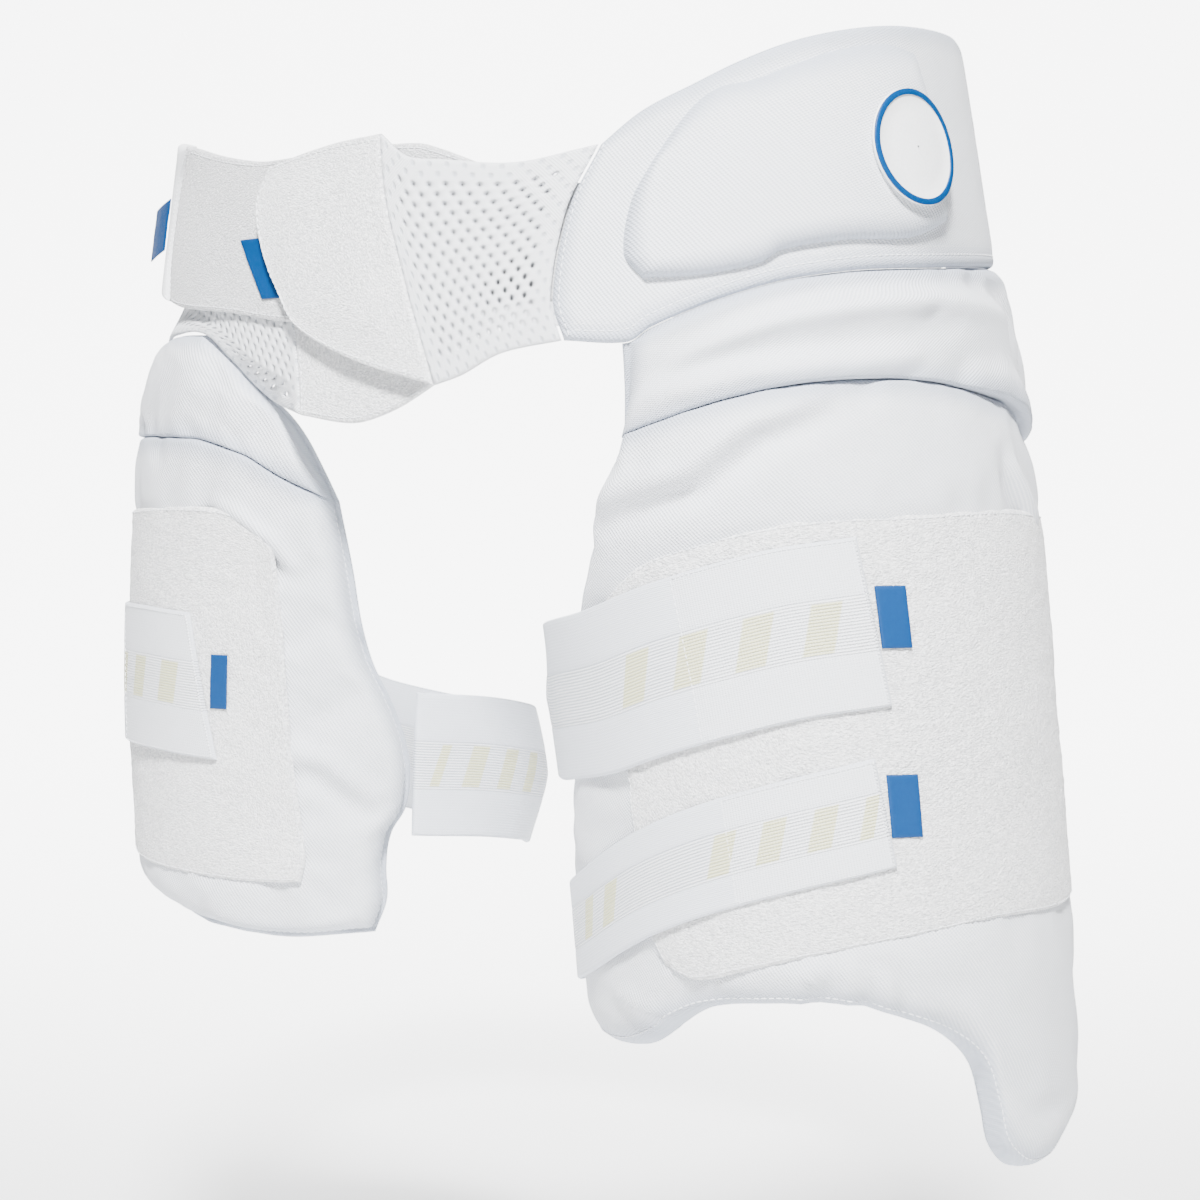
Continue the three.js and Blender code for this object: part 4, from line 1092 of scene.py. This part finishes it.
rearYokeCloth = Cloth(
    Patch(rear, **outline(rearYoke)), lifts["skin"],
    lambda u, v: yokeThickness(u, v) + overhang(1 - u, np.sqrt(v)),
    {"left": yoke["edge"], "right": yoke["edge"], "top": yoke["top"], "bottom": yoke["seam"]},
    rearYokeRelief, across=lengthOf(rear, rearSeam))
settle(rearYokeCloth, swellCap["rear"], nothing)
buildPadded(rearYokeCloth, "rearYoke", yoke["spacing"], "rear_yoke")
rearPadCloth = Cloth(
    padPatch(rear, rearSeam, rearPad), lifts["skin"], leadPad["thickness"],
    {"left": rearPad["edge"], "right": rearPad["edge"], "bottom": rearPad["edge"], "top": rearPad["seam"]},
    rearPadRelief, across=lengthOf(rear, rearSeam))
settle(rearPadCloth, swellCap["rear"], underPanel(rear, rearPanel))
buildPadded(rearPadCloth, "rearThighPad", rearPad["spacing"], "rear_thigh_pad")
rearPanelCloth = loopPanel("rearLoopPanel", rear, rearPanel, 61, "rear_loop_panel")
print("rear pad made")

# Elastic straps: rows are angle, height, how proud and how cupped
straps = {
    "leadStrapUpper": {
        "form": lead, "node": "lead_strap_upper", "width": 70, "slant": 3, "finish": "wide", "stripe": 12,
        "rows": [[41, -0.415, 1, 0], [24, -0.4275, 1, 0], [9, -0.4475, 1, 0], [-4, -0.4675, 1, 0],
                 [-22, -0.4975, 1, 0], [-41, -0.515, 1, 0.01], [-48, -0.52, 1, 0.06], [-54, -0.521, 1, 0.13],
                 [-63, -0.522, 1, 0.2], [-74, -0.522, 0.94, 0.24], [-90, -0.52, 0.78, 0.2],
                 [-112, -0.515, 0.36, 0.05], [-140, -0.51, 0.14, 0], [-180, -0.505, 0.12, 0],
                 [-233.3, -0.5, 0.16, 0]],
        "dense": 74, "label": (14, 0.004), "labelNode": "lead_strap_upper_label", "late": (53, 62),
    },
    "leadStrapLower": {
        "form": lead, "node": "lead_strap_lower", "width": 45, "slant": 2.5, "finish": "narrow", "stripe": 9.5,
        "rows": [[39, -0.6125, 1, 0], [20, -0.635, 1, 0], [2, -0.6625, 1, 0], [-14, -0.695, 1, 0],
                 [-39, -0.755, 1, 0], [-58, -0.785, 1, 0], [-76, -0.8, 0.95, 0], [-100, -0.805, 0.5, 0],
                 [-130, -0.8, 0.18, 0], [-180, -0.79, 0.12, 0], [-232.5, -0.785, 0.16, 0]],
        "dense": 62, "label": (14, 0.006), "labelNode": "lead_strap_lower_label",
    },
    "rearStrap": {
        "form": rear, "node": "rear_strap", "width": 70, "slant": 9, "finish": "wide", "stripe": 12,
        "rows": [[-3.2, -0.515, 1, 0], [-25, -0.51, 1, 0], [-55, -0.5125, 1, 0], [-78, -0.52, 1, 0],
                 [-98, -0.54, 0.7, 0], [-122, -0.575, 0.3, 0], [-160, -0.645, 0.12, 0],
                 [-215, -0.67, 0.12, 0.05], [-240, -0.655, 0.14, 0.12], [-262, -0.64, 0.16, 0.05],
                 [-287, -0.622, 0.16, 0],
                 [-309.6, -0.612, 0.16, 0]],
        "dense": 74, "label": (10, 0.006), "labelNode": "rear_strap_label",
    },
}
strapThickness, labelThickness, labelTall = 1.9, 0.7, 26
strapSpacing, labelSpacing = (2.7, 1.25), 0.95


def strapRelief(spec):
    def relief(spot):
        y = (0.5 - spot["v"]) * spec["width"]
        stripe = 0.25 * np.exp(-(((np.abs(y) - spec["stripe"]) / 0.7) ** 2))
        seam = -0.35 * np.exp(-(((spot["s"] - spec["dense"]) / 0.9) ** 2))
        return 0.5 * rumple(spot["s"], spot["t"], 45, 71) - stripe + seam
    return relief


def tabAt(form, angle, middle, across, tall, lift, curl):
    wide = np.degrees(across / (form.radius(angle, middle) + lift))
    return Free(lambda u, v, rise: form.at(angle + u * wide, middle + (0.5 - v) * tall,
                                           lift + rise + curl * u * u * (1 - 0.5 * v)))


def labelPiece(name, place, node):
    cloth = Cloth(place, 0, labelThickness, allRims(labelRim),
                  lambda spot: 0.12 * rumple(spot["s"], spot["t"], 6, 81), through=True)
    piece = cloth.build(name, labelSpacing, finishes["label"], node, "label_fabric")
    return cloth


strapCloths = {}
for name, spec in straps.items():
    place = Band(spec["form"], spec["rows"], spec["width"], spec["slant"], lifts["strap"],
                 spec.get("late", (0, 1)))
    cloth = Cloth(place, 0, strapThickness, allRims(strapRim), strapRelief(spec), through=True)
    flow = lambda u, v, angle, z, cloth=cloth, spec=spec: (u * cloth.across, (0.5 - v) * spec["width"])
    piece = cloth.build(name, strapSpacing, finishes[spec["finish"]], spec["node"], "elastic_webbing", flow)
    strapCloths[name] = cloth
    angle = spec["rows"][0][0] + spec["slant"] * 0.25 + 0.1
    middle = (spec["rows"][0][1] + spec["label"][1]) * spec["form"].length
    tab = tabAt(spec["form"], angle, middle, spec["label"][0], labelTall, lifts["strap"], 0.5)
    labelPiece(name + "Label", tab, spec["labelNode"])
edgeLabel = {"angle": 108, "height": -0.87, "across": 14, "tall": 10, "lift": 17.5}
tab = tabAt(lead, edgeLabel["angle"], edgeLabel["height"] * lead.length, edgeLabel["across"], edgeLabel["tall"],
            edgeLabel["lift"], 0)
labelPiece("leadEdgeLabel", tab, "lead_edge_label")
print("straps made")

# Belt: mesh and flap, inner belt, rear mesh, tongue and back
flap = {
    "left": [[-31, 0.37], [-33.5, 0.2], [-30, -0.06], [-25, -0.25]],
    "top": [[-31, 0.37], [-25, 0.41], [-16, 0.45], [-7, 0.47]],
    "right": [[-7, 0.47], [-5, 0.17], [0, -0.19], [4, -0.46], [7, -0.66]],
    "bottom": [[-25, -0.25], [-22, -0.37], [-16, -0.47], [-6, -0.57], [7, -0.66]],
}
beltMesh = {
    "top": [[-7, 0.47], [-1, 0.36], [7, 0.33], [21, 0.3], [34, 0.36]],
    "bottom": [[7, -0.66], [12, -0.62], [19, -0.53], [29, -0.48]],
    "left": moved(flap["right"], 0.1, 0), "right": moved(hipFlange["left"], -0.4, 0),
}
innerBelt = {
    "left": [[-57, 0.56], [-61.5, 0.4], [-63.5, 0.08], [-61, -0.19]],
    "top": [[-57, 0.56], [-48, 0.48], [-40, 0.43], [-34, 0.41], [-16, 0.42], [0, 0.42], [6, 0.38], [20, 0.25],
            [31, 0.2]],
    "bottom": [[-61, -0.19], [-54, -0.24], [-40, -0.29], [-26, -0.35], [0, -0.36], [31, -0.3]],
    "right": [[31, 0.2], [31, -0.3]],
}
tongue = {
    "left": [[-27, -0.04], [-25.5, -0.35], [-24, -0.55], [-23, -0.78]],
    "top": [[-27, -0.04], [-10, -0.05], [8, -0.12]],
    "right": [[8, -0.12], [10, -0.4], [7, -0.64]],
    "bottom": [[-23, -0.78], [-13, -0.82], [-8, -0.81], [-1, -0.75], [7, -0.64]],
}
hanger = {
    "top": [[-66, 0.32], [-45, 0.2], [-27, -0.04]],
    "bottom": [[-63, -0.3], [-55, -0.35], [-46, -0.45], [-41, -0.52], [-34, -0.65], [-23.4, -0.775]],
    "left": [[-66, 0.32], [-66, 0], [-63, -0.3]],
    "right": [[-27.2, -0.04], [-25.7, -0.35], [-24.2, -0.55], [-23.4, -0.775]],
}
hangerSeam = [[-46, -0.0975], [-31, -0.0925], [-14, -0.095], [-4, -0.1275], [3, -0.1575], [11, -0.19]]
webLift = {"rear": 0.8, "inner": 3.3, "outer": 6.6}
proudEnd = {"rows": [[-70, 1], [-62, 0.8], [-52, 0.3], [-42, 0], [40, 0]], "by": 8}


def softSheet(name, place, lift, thickness, material, node, slot, seed, spacing=1.6, wave=0.4,
              rim=webRim, relief=None):
    def waves(spot):
        more = relief(spot) if relief else 0
        return more + wave * rumple(spot["s"], spot["t"], 26, seed) + 0.25 * wave * rumple(
            spot["s"], spot["t"], 3.2, seed + 1)
    cloth = Cloth(place, lift, thickness, allRims(rim), waves, through=True)
    piece = cloth.build(name, spacing, material, node, slot)
    declareSheet(place, lift)
    return cloth


def standOff(patch):
    def at(u, v, lift):
        flat = patch.at(u, v, 0)
        angle = np.degrees(np.arctan2(flat[..., 0], -flat[..., 1]))
        share = smoothCurve([r[0] for r in proudEnd["rows"]], [r[1] for r in proudEnd["rows"]], angle)
        return patch.at(u, v, lift + proudEnd["by"] * share)
    return Free(at)


# A knitted net as places on the sheet, counted in cells: staggered hexagons with a round hole in
# each, flush with the edges, and with none in the hem
hexX = np.array([0, 0.25, 0.5, 0.5, 0.5, 0.25, 0, -0.25, -0.5, -0.5, -0.5, -0.25])
hexY = np.array([2 / 3, 0.5, 1 / 3, 0, -1 / 3, -0.5, -2 / 3, -0.5, -1 / 3, 0, 1 / 3, 0.5])


def netCells(across, down, columns, rows, holeShare, hem):
    sides = len(hexX)
    turn = np.arange(sides) * 2 * np.pi / sides
    points, faces = [], []
    for row in range(rows):
        for column in range(-1, columns):
            cx, cy = column + 0.5 + 0.5 * (row % 2), row + 0.5
            if cx < 0:
                continue
            x, y = np.clip(cx + hexX, 0, columns), cy + hexY
            y = np.where(y < 0.2, 0, np.where(y > rows - 0.2, rows, y))
            gap = min(min(cx, columns - cx) * across / columns, min(cy, rows - cy) * down / rows)
            if gap > hem:
                share = holeShare(cx / columns, cy / rows)
                holeX, holeY = cx + 0.5 * share * np.sin(turn), cy + 1.05 * share * np.cos(turn)
            else:
                holeX, holeY = np.full(sides, x.mean()), np.full(sides, y.mean())
            first = 2 * sides * len(faces)
            points += [np.stack([x, y], -1), np.stack([holeX, holeY], -1)]
            k = np.arange(sides)
            n = (k + 1) % sides
            faces.append(first + np.stack([k, n, sides + n, sides + k], -1))
    points, faces = np.concatenate(points), np.concatenate(faces)
    _, kept, same = np.unique(np.round(points * 6000).astype(np.int64), axis=0, return_index=True,
                              return_inverse=True)
    return points[kept], same.reshape(-1)[faces]


def netPiece(name, place, lift, thickness, node, pitch, holeShare, hem, seed):
    smooth = Cloth(place, lift, thickness)
    across, down = smooth.across, smooth.down
    columns, tall = round(across / pitch[0]), round(down / pitch[1])
    flat, faces = netCells(across, down, columns, tall, holeShare, hem)
    u, v = flat[:, 0] / columns, flat[:, 1] / tall
    wave = 0.35 * rumple(u * across, v * down, 24, seed)
    outer, inner = place.at(u, v, lift + thickness + wave), place.at(u, v, lift + wave)
    rings = [list(dict.fromkeys(face.tolist())) for face in faces]
    keep = [ring for ring in rings if len(ring) >= 3]
    edges = {pair: True for ring in keep for pair in zip(ring, ring[1:] + ring[:1])}
    count = len(flat)
    shell = keep + [[i + count for i in reversed(ring)] for ring in keep]
    for a, b in edges:
        if (b, a) not in edges:
            shell.append([b, a, a + count, b + count])
    points = np.concatenate([outer, inner])
    # Far from any rim, so that the finish draws no edge
    lay = np.stack([flat[:, 0] * pitch[0], flat[:, 1] * pitch[1], np.full(count, 20.0)], -1)
    mesh = bpy.data.meshes.new(name)
    mesh.from_pydata((points * 0.001).tolist(), [], shell)
    mesh.validate()
    piece = placePiece(name, mesh, np.concatenate([lay, lay]), finishes["mesh"], node)
    declareSheet(place, lift)


def beltHoles(u, v):
    return 0.15 + 0.15 * ramp(u, 0.45, 0.75) * ramp(v, 0.45, 0.7)


def rearHoles(u, v):
    return 0.17 + 0.09 * ramp(u, 0.5, 0.8) * ramp(v, 0.5, 0.75)


netPiece("beltMesh", Patch(body, **beltMesh), webLift["outer"], 1.5, "belt_mesh", netPitch, beltHoles, 8, 101)


flapLift = {"across": 75, "down": 90, "edge": 1.6, "fade": 9, "dome": 1.3, "domeReach": 26}


def flapRelief(spot):
    # The free edges stand up a little, and the middle is domed
    free = np.minimum(spot["u"] * flapLift["across"], (1 - spot["v"]) * flapLift["down"])
    dome = flapLift["dome"] * ramp(spot["rim"], 2, flapLift["domeReach"])
    edge = flapLift["edge"] * np.exp(-free / flapLift["fade"])
    return edge + dome + 0.5 * rumple(spot["s"], spot["t"], 38, 92)


def curledCorner(spot):
    return 4.5 * np.exp(-np.hypot(spot["s"], spot["t"]) / 9)


flapCloth = softSheet("beltFlap", Patch(body, **flap), webLift["outer"], 2.5, finishes["flap"], "belt_flap",
                      "loop_fabric", 91, relief=flapRelief)
# The inner belt takes the darker loop finish, which is painted shade
innerCloth = softSheet("innerBelt", standOff(Patch(body, **innerBelt)), webLift["inner"], 2.2, finishes["belt"],
                       "inner_belt", "loop_fabric", 93, relief=curledCorner)
bindingLeft = [[-60.5, 0.59], [-65.5, 0.4], [-67.5, 0.08], [-65, -0.17]]
bindingRight = moved(innerBelt["left"], -0.1, 0)
bindingPatch = Patch(body, [bindingLeft[0], bindingRight[0]], [bindingLeft[3], bindingRight[3]], bindingLeft,
                     bindingRight)
bindingCloth = softSheet("innerBeltBinding", standOff(bindingPatch), webLift["inner"] - 0.2, 5.4,
                         finishes["tape"], "inner_belt_binding", "binding_tape", 95, 1.0, 0.15, (5.5, 0.12, 0),
                         curledCorner)

hangerFoot = along(rear, hangerSeam)
hangerPatch = Patch(body, **hanger)


def rearMeshAt(u, v, lift):
    u, v, lift = np.broadcast_arrays(np.asarray(u, float), np.asarray(v, float), np.asarray(lift, float))
    angle, z = hangerFoot(u)
    end = rear.at(angle, z + butt, 5 + lift)
    drawn = (ramp(v, 0.8, 1) * ramp(1 - u, 0, 0.1))[..., None]
    shift = end - hangerPatch.at(u, np.ones_like(v), webLift["rear"] + lift)
    return hangerPatch.at(u, v, webLift["rear"] + lift) + shift * drawn


netPiece("rearMesh", Free(rearMeshAt), 0, 1.5, "rear_mesh", netPitch, rearHoles, 6, 103)
tongueCloth = softSheet("rearTongue", Patch(body, **tongue), webLift["rear"], 1.9, finishes["flap"],
                        "rear_tongue", "loop_fabric", 97)
# Rows of the back belt: angle, top, bottom and how proud it stands
backRows = [[-66.3, 0.32, -0.28, 0.16], [-110, 0.38, -0.24, 0.3], [-180, 0.42, -0.16, 0.6],
            [-235.85, 0.5, 0, 1]]


def backAt(u, v, lift):
    angle = lerp(backRows[0][0], backRows[-1][0], np.asarray(u, float))
    column = lambda k: smoothCurve([r[0] for r in backRows], [r[k] for r in backRows], angle)
    return body.at(angle, lerp(column(1), column(2), v) * body.length, column(3) * 6.2 + lift)


softSheet("backBelt", Free(backAt), 0, 2.1, finishes["mesh"], "back_belt", "mesh_fabric", 99, 2.4, 0.3)
endTab = {"angle": -65, "turn": 5, "top": 0.34, "bottom": 0.08, "droop": 0.04, "flare": 9, "lift": 5.7}
flapTab = {"topAngle": -38.5, "bottomAngle": -31.5, "turn": 5, "top": 0.05, "bottom": -0.24, "lift": 2.55}


def endLabelAt(u, v, lift):
    height = lerp(endTab["top"], endTab["bottom"], v) - u * endTab["droop"]
    reach = webLift["inner"] + proudEnd["by"] * 0.9 + u * endTab["flare"] + endTab["lift"] + lift
    return body.at(endTab["angle"] - u * endTab["turn"], height * body.length, reach)


def flapLabelAt(u, v, lift):
    angle = lerp(flapTab["topAngle"], flapTab["bottomAngle"], v) + u * flapTab["turn"]
    height = lerp(flapTab["top"], flapTab["bottom"], v) * body.length
    return body.at(angle, height, webLift["inner"] + flapTab["lift"] + lift)


labelPiece("innerBeltLabel", Free(endLabelAt), "inner_belt_label")
labelPiece("beltFlapLabel", Free(flapLabelAt), "belt_flap_label")
print("belt made")

# Stitching
t = np.linspace(0.01, 0.99, 400)


def inset(cloth, side, gap, start=0.01, end=0.99):
    run = lerp(start, end, t)
    if side in ("top", "bottom"):
        return run, np.full_like(run, gap / cloth.down if side == "top" else 1 - gap / cloth.down)
    return np.full_like(run, gap / cloth.across if side == "left" else 1 - gap / cloth.across), run


def stitchEdges(cloth, sides, gap, stitch, start=0.01, end=0.99):
    return [stitchRow(cloth.skin, *inset(cloth, side, gap, start, end), *stitch) for side in sides]


threeEdges = ("top", "left", "bottom")
padStitch, panelStitch, webStitch = (2.4, 0.9, 0.65), (2.2, 0.9, 0.6), (2.4, 0.9, 0.6)
rows = []
for gap in flangeSeams:
    rows += stitchEdges(flangeCloth, ["bottom"], gap, (2.6, 0.9, 0.7))
rows += stitchEdges(flangeCloth, ["left"], 3.2, (2.4, 0.9, 0.7))
for cloth, gap in ((padCloth, 3.7), (rearPadCloth, 3.5)):
    rows += stitchEdges(cloth, ("left", "right", "bottom"), gap, padStitch)
for cloth in (leadPanelCloth, rearPanelCloth):
    rows += stitchEdges(cloth, ("top", "left", "right", "bottom"), 1.9, panelStitch)
for name, spec in straps.items():
    cloth = strapCloths[name]
    rows += stitchEdges(cloth, ["left"], 1.5, (1.3, 0.25, 0.95))
    rows += stitchEdges(cloth, ("top", "bottom"), 1.3, (1.6, 0.5, 0.5), 0, spec["dense"] / cloth.across)
    rows += stitchEdges(cloth, ["left"], spec["dense"], (2.2, 0.8, 0.55))
for cloth in (flapCloth, innerCloth, tongueCloth):
    rows += stitchEdges(cloth, threeEdges, 2.4, webStitch)
rows += stitchEdges(bindingCloth, ["right"], 1.3, (1.6, 0.6, 0.5))
sew("stitching", rows, finishes["thread"])
print("stitching made")

# Room: a pale sheet that lies under the guard and rises behind it in a round bend; it glows, dimly near the
# front and fully further back, as painted light
room = {"drop": -0.62, "wide": 1.5, "near": -3.5, "flat": 0.6, "bend": 1.44, "rise": 2.2, "steps": 24,
        "glow": 5.2}


def makeFloor():
    mesh = bpy.data.meshes.new("floor")
    drop, wide, flat, bend = room["drop"], room["wide"], room["flat"], room["bend"]
    profile = [(room["near"], drop), (flat, drop)]
    for k in range(room["steps"] + 1):
        a = math.pi / 2 * k / room["steps"]
        profile.append((flat + bend * math.sin(a), drop + bend * (1 - math.cos(a))))
    profile.append((profile[-1][0], room["rise"]))
    points, faces = [], []
    turn = math.radians(cameraSpot["turn"])
    cos, sin = math.cos(turn), math.sin(turn)
    for out, z in profile:
        for side in (-wide, wide):
            points.append((side * cos - out * sin, side * sin + out * cos, z))
    for k in range(len(profile) - 1):
        faces.append((2 * k, 2 * k + 1, 2 * k + 3, 2 * k + 2))
    mesh.from_pydata(points, [], faces)
    mesh.polygons.foreach_set("use_smooth", [True] * len(faces))
    material = bpy.data.materials.new("glowingFloorPaper")
    material.use_nodes = True
    shader = material.node_tree.nodes["Principled BSDF"]
    shader.inputs["Base Color"].default_value = (0.9, 0.9, 0.9, 1)
    shader.inputs["Roughness"].default_value = 0.9
    shader.inputs["Emission Strength"].default_value = room["glow"]
    graph = Graph(material.node_tree)
    away = graph.node("ShaderNodeAttribute", attribute_name="away").outputs["Fac"]
    # Painted light: the sheet's glow grows from dim at the front to full further back
    glow = graph.blend(graph.range(away, 0.3, 1.5), (0.12, 0.12, 0.12), (1, 1, 1))
    graph.feed(glow, shader.inputs["Emission Color"])
    layer = mesh.attributes.new("away", "FLOAT", "POINT")
    layer.data.foreach_set("value", [out for out, z in profile for side in (0, 1)])
    mesh.materials.append(material)
    floor = bpy.data.objects.new("floor", mesh)
    bpy.context.scene.collection.objects.link(floor)
    floor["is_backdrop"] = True


def makeLight(name, place, aim, size, power, colour=(1, 1, 1)):
    data = bpy.data.lights.new(name, "AREA")
    data.shape, data.size, data.energy, data.color = "DISK", size, power, colour
    light = bpy.data.objects.new(name, data)
    bpy.context.scene.collection.objects.link(light)
    light.location = place
    light.rotation_euler = (Vector(aim) - Vector(place)).to_track_quat("-Z", "Y").to_euler()


makeFloor()
makeLight("keyLight", (0.7, -1.3, 1.5), (0.05, 0, -0.15), 0.35, 235)
makeLight("frontLight", (-0.9, -1.8, 0.2), (0, 0, -0.15), 0.8, 5, (0.9, 0.95, 1))
makeLight("rimLight", (-1.5, 0.7, 1.0), (0, 0, -0.1), 0.6, 6, (0.94, 0.97, 1))
world = bpy.data.worlds.new("studioWorld")
world.use_nodes = True
world.node_tree.nodes["Background"].inputs["Color"].default_value = (0.84, 0.90, 1, 1)
world.node_tree.nodes["Background"].inputs["Strength"].default_value = 0.08
bpy.context.scene.world = world

low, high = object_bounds()
{"cad": [list(cadBox[0]), list(cadBox[1])], "visual": [list(low), list(high)]}
